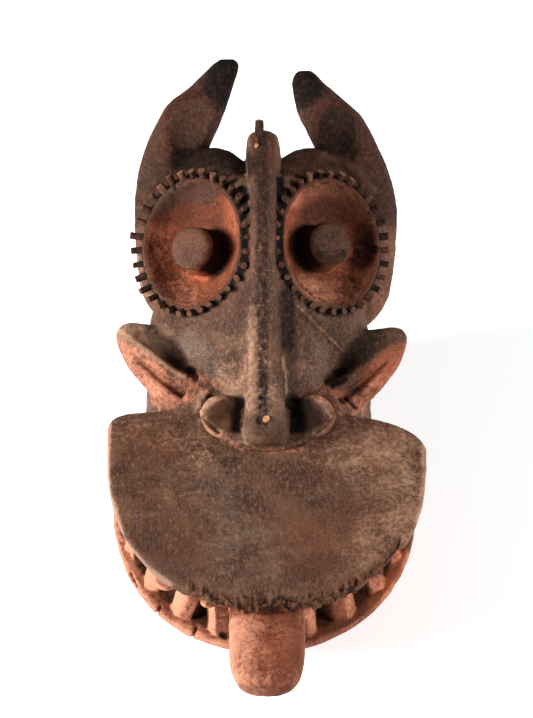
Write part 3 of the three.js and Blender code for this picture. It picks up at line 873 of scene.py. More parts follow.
def reliefAt(points, here):
    height = relief["outwards"] + relief["lump"] * noiseOf("lump", points)
    height += relief["grain"] * noiseOf("grain", points)
    blade = bladeMarks(points, relief["bladeSize"], 5) - relief["bladeMiddle"]
    height += relief["bladeDepth"] * (1 + relief["deeperBehind"] * here.hidden) * blade
    fromMiddle = np.abs(here.x + 0.5 + 1.5 * noiseOf("crustSide", points, softNoise))
    crust = zone("noseCrust", here, fall(fromMiddle, *relief["crustSide"]))
    crumbs = noiseOf("crustLumps", points) + 0.6 * noiseOf("crustCrumbs", points, softNoise)
    height += crust * relief["crust"] * crumbs
    height += zone("ridgeTop", here) * relief["streaks"] * noiseOf("streaks", points)
    height -= zone("lowNose", here, crust * relief["noseGroove"])
    dishFloor = sum(zone("dishFloor", one) for one in here.eyes)
    height += dishFloor * relief["dish"] * noiseOf("dish", points)
    edge = zone("plateEdge", here, fall(insideJaw(here, upperJaw), 3, 12))
    broken = zone("brokenFront", here, edge)
    chip = zone("chippedCorner", here, edge)
    fibres = noiseOf("fibres", points)
    height -= relief["brokenEdge"] * (broken * (0.5 + 1.1 * fibres) + chip * (1.2 + 0.8 * fibres))
    for width, raised, line in markLines.values():
        height += raised * nearLine(here, line, width)
    pits = ramp(noiseOf("pits", points) - 0.5 * fibres, 0, 0.4)
    return height, crust, broken + chip, pits


def readMesh(mesh, source, values):
    found = np.empty(len(mesh.vertices) * 3, np.float32)
    source.foreach_get(values, found)
    return found.reshape(-1, 3)


faces = [group for group in (quads, triangles) if len(group)]
mesh = meshFrom("carved_mask_wood", points / 1000 + shift, faces)
here = readPlaces(points)
height = reliefAt(points, here)[0]
base = ramp(points[:, 2], 0.5, 4)
outwards = readMesh(mesh, mesh.vertex_normals, "vector")
moved = points + outwards * (np.maximum(height, relief["deepest"]) * base)[:, None]
boxLow, boxHigh = [(np.array(corner) - shift) * 1000 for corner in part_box("carved_mask")[:2]]
gap = relief["boxGap"]
moved = np.clip(moved, boxLow + (gap, gap, 0), boxHigh - gap)
mesh.vertices.foreach_set("co", (moved / 1000 + shift).astype(np.float32).ravel())
carvedMask = addObject("carved_mask_wood", mesh)
print("relief cut into the surface")

# Fewer triangles where the wood is plain
triangleLimit = 190000
facesNow = 2 * len(quads) + len(triangles)
if facesNow > triangleLimit:
    thin = carvedMask.modifiers.new("thin", "DECIMATE")
    thin.ratio = triangleLimit / facesNow
    makePlain(carvedMask, thin)
    mesh = carvedMask.data
mesh.name = "carved_mask_wood"
mesh.shade_smooth()
print("thinned to", sum(len(p.vertices) - 2 for p in mesh.polygons), "triangles")


# Stains and wear, with painted shade and painted highlights, kept as numbers at the mesh's points for the
# material to read

def paint(name, values):
    attribute = mesh.attributes.new(name, "FLOAT", "POINT")
    attribute.data.foreach_set("value", np.clip(values, 0, 1).astype(np.float32))


points = (readMesh(mesh, mesh.vertices, "co").astype(float) - shift) * 1000
here = readPlaces(points)
height, crust, broken, pits = reliefAt(points, here)
# Convex edges, which take pale wear and, on the jaw, painted highlights; concave places, which take painted
# shade in creases and sheltered hollows
edge = ramp(fineAverage(points), 0.35, 1.5)
crevice = ramp(-fineAverage(points), 0.3, 1.6)
sheltered = ramp(-broadAverage(points), 0.5, 5)

# Each stain's line in the picture's pixels and width in millimetres, and how strongly it takes each paint.
# Some lines are painted shade or painted highlights, as marked.
# A stain without paints is kept to a zone further on.
stains = {
    "mauveDish": ([(166, 203), (182, 193), (205, 196)], 20, {"greyFilm": 0.65}),
    "orangeDishLeft": ([(160, 226), (190, 212), (226, 205), (236, 225)], 22, {"orange": 0.55}),
    "pinkUnderPupil": ([(176, 258), (186, 272), (204, 276)], 9, {"orange": 0.8}),
    "orangeDishRight": ([(290, 200), (308, 186), (345, 190), (358, 212)], 18, {"orange": 0.55}),
    "paleDishRight": ([(300, 282), (325, 298), (345, 290)], 20, {"paleWood": 0.5}),
    "brownDishRight": ([(366, 232), (366, 246), (360, 256)], 24, {"blackened": 0.7}),
    "brownDishMiddle": ([(328, 200), (330, 215)], 16, {"blackened": 0.2}),
    "hornTipLeft": ([(234, 56), (228, 84)], 52, {"blackened": 0.88}),
    "hornTipRight": ([(292, 70), (300, 84)], 48, {"blackened": 0.88}),
    "browLeft": ([(180, 160), (215, 154), (245, 165)], 24, {"redOchre": 0.42, "blackened": 0.84}),
    "browRight": ([(285, 162), (300, 158), (318, 162)], 22, {"redOchre": 0.3, "blackened": 0.42}),
    # Painted highlight on the lit upper edge of the right brow
    "browEdgeRight": ([(325, 154), (348, 162), (362, 174), (374, 190)], 8, {"paleWood": 0.5}),
    # Painted shadow between each eye's rim and the nose ridge
    "besideRidgeLeft": ([(243, 190), (245, 262), (238, 276)], 7, {"blackened": 1}),
    "besideRidgeRight": ([(280, 175), (280, 262), (290, 285)], 7, {"blackened": 1}),
    # Painted shadow beside the ridge in the nostril hollows
    "nostrilBlackLeft": ([(243, 404), (239, 430)], 14, {}),
    "nostrilBlackRight": ([(291, 404), (296, 430)], 20, {}),
    "nostrilGreenRight": ([(308, 408), (322, 408), (312, 422)], 14, {"greyFilm": 0.8}),
    # Painted highlight along the carved crease on the right cheek
    "cheekCrease": ([(298, 307), (322, 330), (342, 351)], 3.5, {"paleWood": 0.5}),
    "pegGapsRight": ([(384, 226), (388, 250), (386, 280), (378, 300)], 10, {}),
    "cheekShadeRight": ([(287, 296), (288, 345)], 14, {"blackened": 0.72}),
    "cheekShadeLow": ([(288, 340), (289, 394)], 15, {"blackened": 0.5}),
    "noseTip": ([(256, 425), (276, 430)], 20, {"blackened": 0.5}),
    # Painted highlights on the left flank and the right edge of the nose ridge
    "noseLightLeft": ([(254, 310), (254, 350), (252, 392)], 13, {"paleWood": 0.5}),
    "noseLightRight": ([(283, 358), (288, 405)], 3, {"paleWood": 0.8}),
    "cheekBlue": ([(190, 340), (205, 356), (212, 368)], 20, {"greyFilm": 0.6}),
    "cheekGreyRight": ([(318, 345), (330, 362), (318, 380)], 18, {"greyFilm": 0.5}),
    # Painted shadow in a small hole on the left ear
    "earHoleLeft": ([(189, 370), (193, 371)], 6, {"blackened": 1}),
    "earDarkLeft": ([(150, 331), (168, 346), (178, 362)], 14, {"blackened": 0.7}),
    "earDarkRight": ([(376, 332), (358, 346), (346, 362)], 14, {"blackened": 0.7}),
    # Painted highlight along the rim of the left ear
    "earRimLeft": ([(119, 331), (140, 345), (160, 361), (184, 376)], 5, {"paleWood": 0.75}),
    # Painted light on the lit outer lobes of the nostrils; they also keep the painted shade of creases off
    # these lobes
    "nostrilLobeLeft": ([(206, 402), (212, 414), (218, 424)], 23, {"paleWood": 0.75}),
    "nostrilLobeRight": ([(322, 404), (318, 414), (312, 424)], 19, {"paleWood": 0.5}),
    "nostrilLips": (markLines["nostrilLip"][2], 5, {"redOchre": 0.35, "paleWood": 0.3}),
    # Painted shadow in a hole and a hollow on the right ear
    "earHoleRight": ([(336, 373), (345, 371)], 6, {"blackened": 1}),
    "earHollowRight": ([(333, 386), (345, 380)], 5, {"blackened": 1}),
    "scoopRimLeft": ([(166, 132), (168, 112), (177, 99), (192, 93), (206, 97)], 9, {}),
    "scoopRimRight": ([(316, 142), (313, 122), (319, 108), (332, 102), (346, 105)], 8, {}),
    "pupilShadeRight": ([(320, 256), (330, 262), (342, 254)], 13, {}),
    # Painted light, orange and pale, where the top of the right dish lies in shade, and pale on the shaded
    # wall of the left dish
    "dishTopRight": ([(296, 192), (325, 178), (350, 186)], 26, {"orange": 0.8}),
    "paleDishLeft": ([(132, 262), (150, 288), (190, 298)], 24, {"paleWood": 0.4}),
    "plateTopLight": ([(130, 432), (180, 434), (200, 450)], 30, {"paleWood": 0.35}),
    "bellRedLeft": ([(150, 398), (180, 392), (200, 385)], 26, {"redOchre": 0.5, "paleWood": 0.4}),
    "bellRedRight": ([(322, 398), (345, 402), (362, 404)], 22, {"redOchre": 0.5, "paleWood": 0.4}),
    "plateFilm": ([(215, 470), (235, 520), (250, 560)], 60, {"greyFilm": 0.4}),
    # Painted sheen along the plate's left edge, grey and pale
    "plateSheenLeft": ([(112, 500), (124, 540), (146, 566), (170, 583)], 5,
                       {"greyFilm": 0.9, "paleWood": 0.55}),
    "plateBlueLeft": ([(145, 540), (158, 560), (178, 572)], 24, {"greyFilm": 0.4, "blackened": 0.4}),
    "plateRedLeft": ([(160, 432), (190, 445), (205, 470)], 28, {"redOchre": 0.25}),
    "plateRedLow": ([(196, 500), (212, 508)], 18, {"redOchre": 0.25}),
    "plateDarkRight": ([(346, 492), (350, 512), (346, 530)], 16, {"blackened": 0.4}),
    "plateDarkLow": ([(292, 575), (312, 568), (330, 560)], 18, {"blackened": 0.4}),
    "plateTanRight": ([(345, 435), (375, 455), (392, 500), (385, 540)], 62, {"paleWood": 0.42}),
    # Painted highlights along the plate's right and left edges
    "plateEdgeLight": ([(424, 446), (424, 480), (417, 520)], 5, {"paleWood": 0.7}),
    "plateEdgeLeft": ([(109, 424), (107, 455), (108, 488), (113, 516), (122, 540)], 4.5, {"paleWood": 0.8}),
    "jawRedRight": ([(402, 555), (392, 580), (375, 602)], 12, {"orange": 0.8}),
    "tongueDark": ([(262, 606), (276, 612), (282, 630)], 14, {"blackened": 0.3}),
    # Painted shade on the down-facing end of the tongue
    "tongueTipDark": ([(240, 684), (262, 692), (290, 686)], 7, {"blackened": 0.5}),
    "rimSpot": ([(222, 634), (226, 636)], 5, {"blackened": 1}),
}
laid = {name: nearLine(here, line, width) for name, (line, width, _) in stains.items()}


# The strongest of a paint's layers and of the stains and painted light that take it
def strongest(name, *layers):
    taken = [stains[key][2][name] * laid[key] for key in stains if name in stains[key][2]]
    return np.maximum.reduce([*layers, *taken])


below, inFront, onRight, plateTop, earTop, horn, ridgeUpper = [
    zone(name, here) for name in ("below", "inFront", "onRight", "plateTop", "earTop", "horn", "ridgeUpper")]
dishRim, pupilFace, pegRing = [
    sum(zone(name, one) for one in here.eyes) for name in ("dishRim", "pupilFace", "pegRing")]
pupilFace = np.clip(pupilFace, 0, 1)
jawWood = below * inFront
onLeft = 1 - onRight
earInside = zone("earInside", here, ramp(here.beside * 0.719 + 62 - here.up, 41, 49))
dishEdge = 1 + 0.03 * noiseOf("dishEdge", points)
dish = sum(zone("dish", one, ramp(dishEdge - one.ring, 0, 0.05)) for one in here.eyes)
scoop = {"halfWidth": 20, "halfHeight": 27}
scooped = zone("hornFront", here, horn) * sum(
    fall(np.hypot((here.x - across) / scoop["halfWidth"], (here.up - up) / scoop["halfHeight"]), 0.8, 1.05)
    for across, up in hornScoop["places"])
pupilShadow = sum(zone("pupilShadow", one) for one in here.eyes) * (1 - pupilFace) * dish
cheeks = zone("cheeks", here, 1 - plateTop)
onTooth = onTeeth(here)
teeth = zone("aboveRim", here, onTooth * inFront)
# The recesses between the teeth, later painted dark as painted shade
betweenTeeth = ramp(insideJaw(here, lowerJaw), 8, 11) * (1 - onTooth) * inFront
betweenTeeth = zone("underPlate", here, zone("aboveRim", here, betweenTeeth))
awayFromMiddle = readMesh(mesh, mesh.vertex_normals, "vector")[:, 0]
awayFromMiddle = awayFromMiddle * np.where(here.x < tongue["centreX"], -1, 1)
# Tooth faces turned outwards, painted lighter as painted light
toothSide = ramp(awayFromMiddle, 0.2, 0.5) * teeth
onTongue = zone("tongueFront", here, fall(np.abs(here.x - tongue["centreX"]), 33, 35))
lobes = np.maximum(laid["nostrilLobeLeft"], laid["nostrilLobeRight"])
scoopRims = np.maximum(laid["scoopRimLeft"], laid["scoopRimRight"]) * horn
# Painted shadow in the nostrils beside the ridge
nostrilBlack = zone("nostrilFloor", here, np.maximum(laid["nostrilBlackLeft"], laid["nostrilBlackRight"]))
plain = (1 - jawWood) * (1 - 0.8 * lobes)

red = strongest("redOchre", dish * (1 - pupilFace), 0.9 * jawWood, 0.95 * earInside, 0.32 * horn,
                0.5 * scoopRims, 0.3 * ridgeUpper, 0.45 * dishRim)
paint("redOchre", red)
paint("orange", strongest("orange", 0.25 * dish, 0.35 * earInside) * np.minimum(1, red * 1.5))
paint("greyFilm", strongest("greyFilm", 0.22 * cheeks))
# Dark stains and patina, and painted shade: shadows beside the nose ridge and in the nostrils, darkened
# creases and hollows, the recesses between the teeth, the pupils' shadows, the ring between the eye pegs, and
# the right-hand side of the jaw, tongue and ear tops
paint("blackened", strongest(
    "blackened", 0.95 * nostrilBlack, 0.3 * earTop * onRight, 0.68 * betweenTeeth, 0.5 * crevice * jawWood,
    0.8 * crevice * (1 - dish) * (1 - 0.8 * broken) * plain, 0.5 * sheltered * (1 - 0.8 * dish) * plain,
    0.38 * zone("tongueRight", here, onTongue) * below, pupilShadow, 0.85 * pegRing, 0.55 * dishRim,
    0.42 * jawWood * onRight * (1 - onTongue) * (1 - toothSide), horn * (0.6 + 0.04 * onRight),
    0.8 * scooped * onRight, 0.7 * scoopRims, (0.2 + 0.3 * onRight) * pupilFace,
    0.75 * laid["pupilShadeRight"] * pupilFace, 0.5 * ridgeUpper, 0.78 * np.minimum(broken, 1) * pits,
    0.35 * broken))
# Pale wear on edges, and painted light: the left-hand side of the jaw, teeth, tongue, ears and cheeks made
# lighter, highlights on the tooth faces turned outwards and on the jaw's edges, and the shaded walls of the
# dishes lightened
pale = strongest(
    "paleWood", 0.25 * edge * (1 - here.hidden) * (1 - dish) * (1 - horn), 0.5 * laid["dishTopRight"] * dish,
    0.3 * laid["pegGapsRight"] * (1 - dish), jawWood * (0.36 - 0.2 * onRight),
    edge * jawWood * (0.7 - 0.35 * onRight), 0.9 * toothSide * below * (1 - 0.5 * onRight),
    0.72 * zone("tongueLeft", here, onTongue) * below,
    earInside * (0.6 - 0.42 * onRight), 0.5 * edge * earInside, 0.6 * earTop * onLeft,
    cheeks * (0.44 - 0.16 * onRight), 0.35 * zone("outerDish", here.eyes[0], dish * onLeft))
paint("paleWood", pale * (1 - 0.8 * pupilFace))
paint("crust", crust)
paint("broken", np.maximum(broken, betweenTeeth))
print("stains and wear painted")


# Materials

def colour(red, green, blue):
    return tuple((value / 255 / 12.92) if value / 255 <= 0.04045 else ((value / 255 + 0.055) / 1.055) ** 2.4
                 for value in (red, green, blue)) + (1,)


def setInputs(node, values):
    for name, value in values.items():
        node.inputs[name].default_value = value


# Adds nodes to a tree; an input is a value or another node's socket
def nodeAdder(tree):
    def addNode(kind, inputs=None, **settings):
        node = tree.nodes.new(kind)
        for name, value in settings.items():
            setattr(node, name, value)
        for name, value in (inputs or {}).items():
            if isinstance(value, bpy.types.NodeSocket):
                tree.links.new(value, node.inputs[name])
            else:
                node.inputs[name].default_value = value
        return node
    return addNode


def materialParts(name):
    material = bpy.data.materials.new(name)
    material.use_nodes = True
    tree = material.node_tree
    tree.nodes.clear()
    addNode = nodeAdder(tree)
    place = addNode("ShaderNodeTexCoord").outputs["Object"]

    def noise(scale, detail=4.0, roughness=0.6, stretch=None, distortion=0.0):
        where = place
        if stretch:
            where = addNode("ShaderNodeMapping", {"Vector": place, "Scale": stretch}).outputs["Vector"]
        return addNode("ShaderNodeTexNoise", {
            "Vector": where, "Scale": scale, "Detail": detail, "Roughness": roughness,
            "Distortion": distortion}).outputs["Fac"]

    def spread(value, low, high, toLow=0.0, toHigh=1.0):
        return addNode("ShaderNodeMapRange", {
            "Value": value, "From Min": low, "From Max": high, "To Min": toLow, "To Max": toHigh},
            interpolation_type="SMOOTHSTEP").outputs["Result"]

    def maths(kind, a, b):
        return addNode("ShaderNodeMath", {0: a, 1: b}, operation=kind).outputs["Value"]

    def blend(a, shareOfA, b, shareOfB):
        return maths("ADD", maths("MULTIPLY", a, shareOfA), maths("MULTIPLY", b, shareOfB))

    def mix(share, a, b):
        node = addNode("ShaderNodeMix", data_type="RGBA")
        for name, value in (("Factor_Float", share), ("A_Color", a), ("B_Color", b)):
            socket = next(i for i in node.inputs if i.identifier == name)
            if isinstance(value, bpy.types.NodeSocket):
                tree.links.new(value, socket)
            else:
                socket.default_value = value
        return next(o for o in node.outputs if o.identifier == "Result_Color")

    def painted(attribute):
        return addNode("ShaderNodeAttribute", attribute_name=attribute).outputs["Fac"]

    def finish(base, roughness, look, height):
        bump = addNode("ShaderNodeBump", {"Strength": look["bump"], "Distance": look["bumpDepth"],
                                          "Height": height})
        shader = addNode("ShaderNodeBsdfPrincipled", {
            "Base Color": base, "Roughness": roughness, "Specular IOR Level": look["specular"],
            "Normal": bump.outputs["Normal"]})
        addNode("ShaderNodeOutputMaterial", {"Surface": shader.outputs["BSDF"]})
        return material

    return SimpleNamespace(noise=noise, spread=spread, maths=maths, blend=blend, mix=mix, painted=painted,
                           finish=finish)


woodLook = {
    "deep": colour(58, 38, 28), "brown": colour(98, 69, 53), "light": colour(130, 99, 78),
    "reddish": colour(104, 60, 43), "film": colour(112, 97, 86), "redDeep": colour(96, 49, 32),
    "red": colour(142, 78, 54), "orange": colour(172, 92, 62), "pale": colour(184, 140, 112),
    "redPale": colour(210, 146, 116), "black": colour(14, 8, 6), "fresh": colour(112, 66, 36),
    "crust": colour(34, 17, 12), "speck": colour(206, 150, 116),
    "roughness": (0.6, 0.92), "specular": 0.14, "bump": 0.6, "bumpDepth": 0.0012,
}


def carvedWoodMaterial(look):
    use = materialParts("carvedWood")
    noise, spread, maths = use.noise, use.spread, use.maths
    blend, mix, painted = use.blend, use.mix, use.painted
    mottle = noise(30, 6, 0.66, distortion=0.5)
    fleck = noise(240, 5, 0.72)
    grain = noise(430, 4, 0.66, stretch=(1, 0.32, 1))
    fine = noise(760, 3, 0.6)
    ragged = blend(maths("SUBTRACT", fleck, 0.5), 1.05, maths("SUBTRACT", mottle, 0.5), 0.8)

    def worn(paintName, low, high, most=1.0):
        return spread(maths("ADD", painted(paintName), ragged), low, high, 0, most)

    wood = mix(spread(blend(mottle, 0.6, grain, 0.4), 0.38, 0.6), look["deep"], look["brown"])
    wood = mix(maths("MULTIPLY", spread(blend(grain, 0.5, fleck, 0.5), 0.5, 0.68), 0.7), wood, look["light"])
    wood = mix(maths("MULTIPLY", spread(noise(9, 3, 0.55), 0.42, 0.62), 0.5), wood, look["reddish"])
    # Grey film, which on the plate's left edge is a painted sheen
    wood = mix(worn("greyFilm", 0.25, 0.9, 0.75), wood, look["film"])
    red = mix(spread(blend(mottle, 0.55, fleck, 0.45), 0.38, 0.6), look["redDeep"], look["red"])
    red = mix(worn("orange", 0.2, 0.8), red, look["orange"])
    red = mix(worn("greyFilm", 0.3, 0.9, 0.75), red, look["film"])
    redShare = worn("redOchre", 0.22, 0.62)
    base = mix(redShare, wood, red)
    # Pale wood, which also stands for painted highlights and painted light
    base = mix(worn("paleWood", 0.2, 0.9, 0.85), base, mix(redShare, look["pale"], look["redPale"]))
    base = mix(maths("MULTIPLY", painted("broken"), spread(fleck, 0.4, 0.62)), base, look["fresh"])
    crumbs = spread(blend(fleck, 0.7, fine, 0.3), 0.46, 0.6, 0.92, 0.15)
    base = mix(maths("MULTIPLY", painted("crust"), crumbs), base, look["crust"])
    # Black, which stands for dark stains and patina and also for painted shade
    darkShare = spread(maths("ADD", painted("blackened"), maths("MULTIPLY", ragged, 0.9)), 0.12, 1.0)
    base = mix(darkShare, base, look["black"])
    base = mix(spread(fine, 0.5, 0.7, 0, 0.5), base, look["black"])
    specks = maths("MULTIPLY", spread(fine, 0.48, 0.3, 0, 0.12), spread(darkShare, 0.9, 0.3))
    base = mix(specks, base, look["speck"])
    dryness = maths("ADD", fleck, maths("MULTIPLY", darkShare, 0.3))
    return use.finish(base, spread(dryness, 0.3, 0.9, *look["roughness"]), look,
                      maths("ADD", blend(grain, 0.5, fine, 0.4), fleck))


mesh.materials.append(carvedWoodMaterial(woodLook))
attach(carvedMask, "root")
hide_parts("carved_mask")


# Pegs, whittled sticks set on points that know which way each one leans

pegLook = {"deep": colour(22, 12, 8), "brown": colour(72, 44, 32), "tan": colour(150, 102, 76),
           "pale": colour(216, 150, 104), "roughness": 0.8, "specular": 0.15, "bump": 0.5,
           "bumpDepth": 0.0006}


def pegMaterial(look):
    use = materialParts("pegWood")
    spread, mix, painted = use.spread, use.mix, use.painted
    fleck = use.noise(260, 4, 0.65)
    wood = mix(spread(use.noise(90, 4, 0.6), 0.35, 0.65), look["deep"], look["brown"])
    wood = mix(spread(use.blend(painted("pegTone"), 0.6, fleck, 0.5), 0.6, 1.1), wood, look["tan"])
    wood = mix(spread(painted("pegShare"), 0.9, 1.0, 0, 0.5), wood, look["tan"])
    wood = mix(use.maths("MULTIPLY", painted("pegPale"), spread(fleck, 0.25, 0.5)), wood, look["pale"])
    # pegDark darkens pegs, partly as painted shade
    wood = mix(painted("pegDark"), wood, look["deep"])
    wood = mix(spread(painted("pegShare"), 0.6, 0.1, 0, 0.8), wood, look["deep"])
    return use.finish(wood, look["roughness"], look, fleck)


pegs = {"count": 32, "radius": 3.3, "length": {-1: 14.8, 1: 12.8}, "sunk": 3, "behindRim": 3,
        "rake": {"mean": 57, "lessInside": 11, "lessAbove": 15, "lessAtSides": 26, "sway": 6,
                 "swayRate": 7.3},
        "sides": 9, "rings": 6, "taper": 0.14, "whittling": 0.0011, "whittlingScale": 190.0,
        "lengthSpread": 0.12, "widthSpread": 0.16, "shorterAbove": 0.15, "widerAbove": 0.16,
        "darkByRidge": 0.2, "darkBelow": 0.45, "darkOuter": {-1: 0.2, 1: 0.55}}


def whittledPegTree(material):
    tree = bpy.data.node_groups.new("whittledPegs", "GeometryNodeTree")
    sockets = tree.interface
    sockets.new_socket("Geometry", in_out="INPUT", socket_type="NodeSocketGeometry")
    for name, kind in (("Peg Radius", "Float"), ("Peg Length", "Float"), ("Taper", "Float"),
                       ("Whittling", "Float"), ("Length Spread", "Float"), ("Width Spread", "Float"),
                       ("Sides", "Int"), ("Seed", "Int")):
        sockets.new_socket(name, in_out="INPUT", socket_type="NodeSocket" + kind)
    sockets.new_socket("Geometry", in_out="OUTPUT", socket_type="NodeSocketGeometry")
    addNode = nodeAdder(tree)
    given = addNode("NodeGroupInput").outputs

    def made(kind, inputs=None, **settings):
        return addNode(kind, inputs, **settings).outputs[0]

    def maths(kind, a, b):
        return made("ShaderNodeMath", {0: a, 1: b}, operation=kind)

    def times(a, b):
        return maths("MULTIPLY", a, b)

    def vector(x, y, z):
        return made("ShaderNodeCombineXYZ", {"X": x, "Y": y, "Z": z})

    def chance(seed):
        return addNode("FunctionNodeRandomValue", {"Seed": seed}, data_type="FLOAT").outputs[1]

    def known(name, kind="FLOAT"):
        return made("GeometryNodeInputNamedAttribute", {"Name": name}, data_type=kind)

    def store(geometry, name, value, domain):
        return made("GeometryNodeStoreNamedAttribute", {"Geometry": geometry, "Name": name, "Value": value},
                    data_type="FLOAT", domain=domain)

    def about(spread, seedStep):
        away = maths("SUBTRACT", chance(maths("ADD", given["Seed"], seedStep)), 0.5)
        return maths("ADD", 1.0, times(away, times(spread, 2)))

    # One stick, narrower towards its end, with its foot at the origin
    stick = made("GeometryNodeMeshCylinder", {"Vertices": given["Sides"], "Side Segments": pegs["rings"],
                                              "Fill Segments": 2, "Radius": given["Peg Radius"],
                                              "Depth": given["Peg Length"]})
    apart = addNode("ShaderNodeSeparateXYZ", {0: made("GeometryNodeInputPosition")}).outputs
    share = maths("ADD", maths("DIVIDE", apart["Z"], given["Peg Length"]), 0.5)
    narrow = maths("SUBTRACT", 1.0, times(share, given["Taper"]))
    shaped = vector(times(apart["X"], narrow), times(apart["Y"], narrow), times(share, given["Peg Length"]))
    stick = store(stick, "pegShare", share, "POINT")
    stick = made("GeometryNodeSetPosition", {"Geometry": stick, "Position": shaped})

    # Turned the way its point says, and each a little different
    turn = made("FunctionNodeAlignRotationToVector", {"Vector": known("along", "FLOAT_VECTOR")}, axis="Z")
    twist = made("FunctionNodeAxisAngleToRotation", {"Axis": (0, 0, 1),
                                                     "Angle": times(chance(given["Seed"]), 6.28)})
    turn = made("FunctionNodeRotateRotation", {"Rotation": turn, "Rotate By": twist}, rotation_space="LOCAL")
    thicken = known("thicken")
    size = vector(times(thicken, about(given["Width Spread"], 1)),
                  times(thicken, about(given["Width Spread"], 2)),
                  times(known("lengthen"), about(given["Length Spread"], 3)))
    placed = made("GeometryNodeInstanceOnPoints", {"Points": given["Geometry"], "Instance": stick,
                                                   "Rotation": turn, "Scale": size})
    placed = store(placed, "pegTone", chance(maths("ADD", given["Seed"], 5)), "INSTANCE")
    real = made("GeometryNodeRealizeInstances", {"Geometry": placed})

    # Uneven flats, as a knife leaves them
    rough = addNode("ShaderNodeTexNoise", {"Scale": pegs["whittlingScale"], "Detail": 2.0}).outputs["Color"]
    push = made("ShaderNodeVectorMath", {0: rough, 1: (0.5, 0.5, 0.5)}, operation="SUBTRACT")
    push = made("ShaderNodeVectorMath", {0: push, "Scale": times(given["Whittling"], 2)}, operation="SCALE")
    real = made("GeometryNodeSetPosition", {"Geometry": real, "Offset": push})
    real = made("GeometryNodeSetShadeSmooth", {"Geometry": real, "Shade Smooth": False})
    real = made("GeometryNodeSetMaterial", {"Geometry": real, "Material": material})
    tree.links.new(real, addNode("NodeGroupOutput").inputs[0])
    return tree


def setPegs(name, feet, along, numbers, length, seed, nodes):
    points = bpy.data.meshes.new(name)
    points.from_pydata([tuple(foot / 1000 + shift) for foot in feet], [], [])
    leans = points.attributes.new("along", "FLOAT_VECTOR", "POINT")
    leans.data.foreach_set("vector", np.ravel(along).astype(np.float32))
    for attribute, values in numbers.items():
        kept = points.attributes.new(attribute, "FLOAT", "POINT")
        kept.data.foreach_set("value", np.array(values, np.float32))
    piece = addObject(name, points)
    modifier = piece.modifiers.new("pegs", "NODES")
    modifier.node_group = pegTree
    values = {"Peg Radius": pegs["radius"] / 1000, "Peg Length": length / 1000, "Taper": pegs["taper"],
              "Whittling": pegs["whittling"], "Length Spread": pegs["lengthSpread"],
              "Width Spread": pegs["widthSpread"], "Sides": pegs["sides"], "Seed": seed}
    for item in pegTree.interface.items_tree:
        if item.in_out == "INPUT" and item.name in values:
            modifier[item.identifier] = values[item.name]
    makePlain(piece, modifier)
    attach(piece, "root")
    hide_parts(*nodes)


def eyePegPlaces(side):
    rake = pegs["rake"]
    feet, along = [], []
    for i in range(pegs["count"]):
        turn = i / pegs["count"] * 2 * math.pi
        c, s = math.cos(turn), math.sin(turn)
        sway = rake["sway"] * math.sin(rake["swayRate"] * i + side)
        lean = math.radians(rake["mean"] - rake["lessInside"] * c - rake["lessAbove"] * s
                            - rake["lessAtSides"] * c * c + sway)
        foot, ahead = [eyePoint(side, (eye["halfWidth"] + eye["wall"] + reach * math.cos(lean)) * c,
                                (eye["halfHeight"] + eye["wall"] + reach * math.cos(lean)) * s,
                                reach * math.sin(lean) - pegs["behindRim"]) for reach in (0, 1)]
        way = (ahead - foot) / np.linalg.norm(ahead - foot)
        feet.append(foot - way * pegs["sunk"])
        along.append(way)
    return feet, along


pegTree = whittledPegTree(pegMaterial(pegLook))
turn = np.arange(pegs["count"]) / pegs["count"] * 2 * np.pi
above = ramp(np.sin(turn), 0.2, 0.8)
for side, name in zip(bothSides, ("left", "right")):
    # Pegs beside the ridge and the right eye's outer pegs are darkened as painted shade; the lower pegs and
    # the left eye's outer pegs are darker too
    darkened = np.maximum.reduce([pegs["darkByRidge"] * ramp(-np.cos(turn), 0.45, 0.8),
                                  pegs["darkBelow"] * ramp(-np.sin(turn), 0.3, 0.8),
                                  pegs["darkOuter"][side] * ramp(np.cos(turn), 0.3, 0.8)])
    numbers = {"lengthen": 1 - pegs["shorterAbove"] * above, "thicken": 1 + pegs["widerAbove"] * above,
               "pegPale": above * 0, "pegDark": darkened}
    setPegs("eye_pegs_" + name, *eyePegPlaces(side), numbers, pegs["length"][side], 20 + side,
            [f"eye_peg_{name}_{i:02d}" for i in range(1, 26)])


def alongFace(up, out):
    way = facePoint(0, up, out) - facePoint(0, 0, 0)
    return way / np.linalg.norm(way)


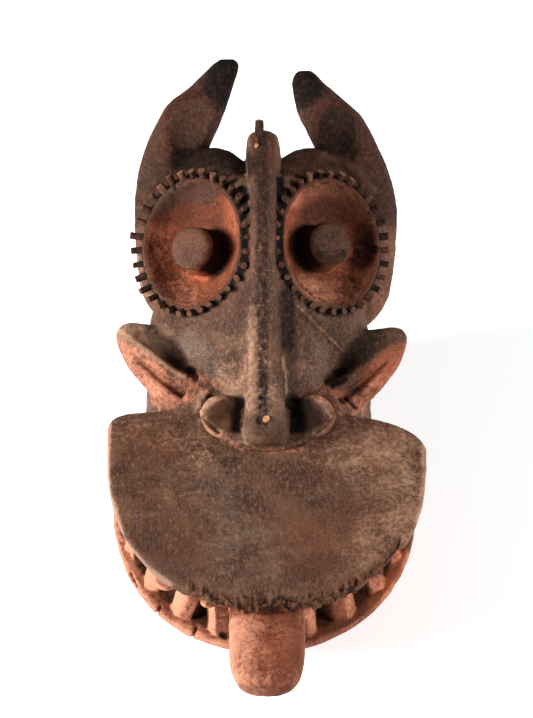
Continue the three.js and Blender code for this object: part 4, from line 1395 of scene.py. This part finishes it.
ridgePegs = {
    "top": {"foot": (-3.2, 223, 37), "along": (1, -0.18), "length": 28, "radius": 4.4, "pale": 0},
    "brow": {"foot": (-5.8, 223, 31), "along": (0.25, 1), "length": 12.5, "radius": 1.9, "pale": 0.6},
    "nose": {"foot": (3, -27, 34), "along": (0, 1), "length": 13, "radius": 3.4, "pale": 0.7},
}
wholeLength = 13
each = ridgePegs.values()
setPegs("ridge_pegs", [facePoint(*peg["foot"]) for peg in each], [alongFace(*peg["along"]) for peg in each],
        {"lengthen": [peg["length"] / wholeLength for peg in each],
         "thicken": [peg["radius"] / pegs["radius"] for peg in each],
         "pegPale": [peg["pale"] for peg in each], "pegDark": [0 for peg in each]},
        wholeLength, 31, ["ridge_peg_" + name for name in ridgePegs])
print("pegs set")


# Floor, light and camera

view = {"elevation": math.radians(45), "distance": 21.0, "across": 3.15, "up": 88.3, "towards": 150,
        "seen": 0.646, "sensor": 36}
target = Vector(viewPoint(view["across"], view["up"], view["towards"]) / 1000 + shift)
lookFrom = Vector((0, -math.cos(view["elevation"]), math.sin(view["elevation"])))
camera = addObject("camera", bpy.data.cameras.new("camera"))
camera.location = target + lookFrom * view["distance"]
camera.rotation_euler = lookFrom.to_track_quat("Z", "Y").to_euler()
camera.data.sensor_width = view["sensor"]
camera.data.lens = view["sensor"] * view["distance"] / view["seen"]
bpy.context.scene.camera = camera
bpy.context.scene.view_settings.view_transform = "Standard"

floorHalf = 6
corners = floorHalf * np.array([(-1, -1, 0), (1, -1, 0), (1, 1, 0), (-1, 1, 0)])
floorMesh = meshFrom("floor", corners, [np.array([[0, 1, 2, 3]])])
floor = addObject("floor", floorMesh)
floorPaint = bpy.data.materials.new("floorPaint")
floorPaint.use_nodes = True
setInputs(floorPaint.node_tree.nodes["Principled BSDF"], {
    "Base Color": (0.9, 0.9, 0.9, 1), "Roughness": 0.9, "Emission Color": (1, 1, 1, 1),
    "Emission Strength": 0.42})
floorMesh.materials.append(floorPaint)

lamps = {
    "left": {"from": (-3.4, -1.1, 1.7), "size": 1.5, "power": 300},
    "right": {"from": (3.4, -0.9, 1.7), "size": 1.5, "power": 150},
}
for name, lamp in lamps.items():
    light = bpy.data.lights.new(name, "AREA")
    light.energy = lamp["power"]
    light.size = lamp["size"]
    holder = addObject(name, light)
    holder.location = lamp["from"]
    holder.rotation_euler = (Vector(lamp["from"]) - target).to_track_quat("Z", "Y").to_euler()
world = bpy.data.worlds.new("studio")
bpy.context.scene.world = world
world.use_nodes = True
setInputs(world.node_tree.nodes["Background"], {"Color": (1, 1, 1, 1), "Strength": 0.17})
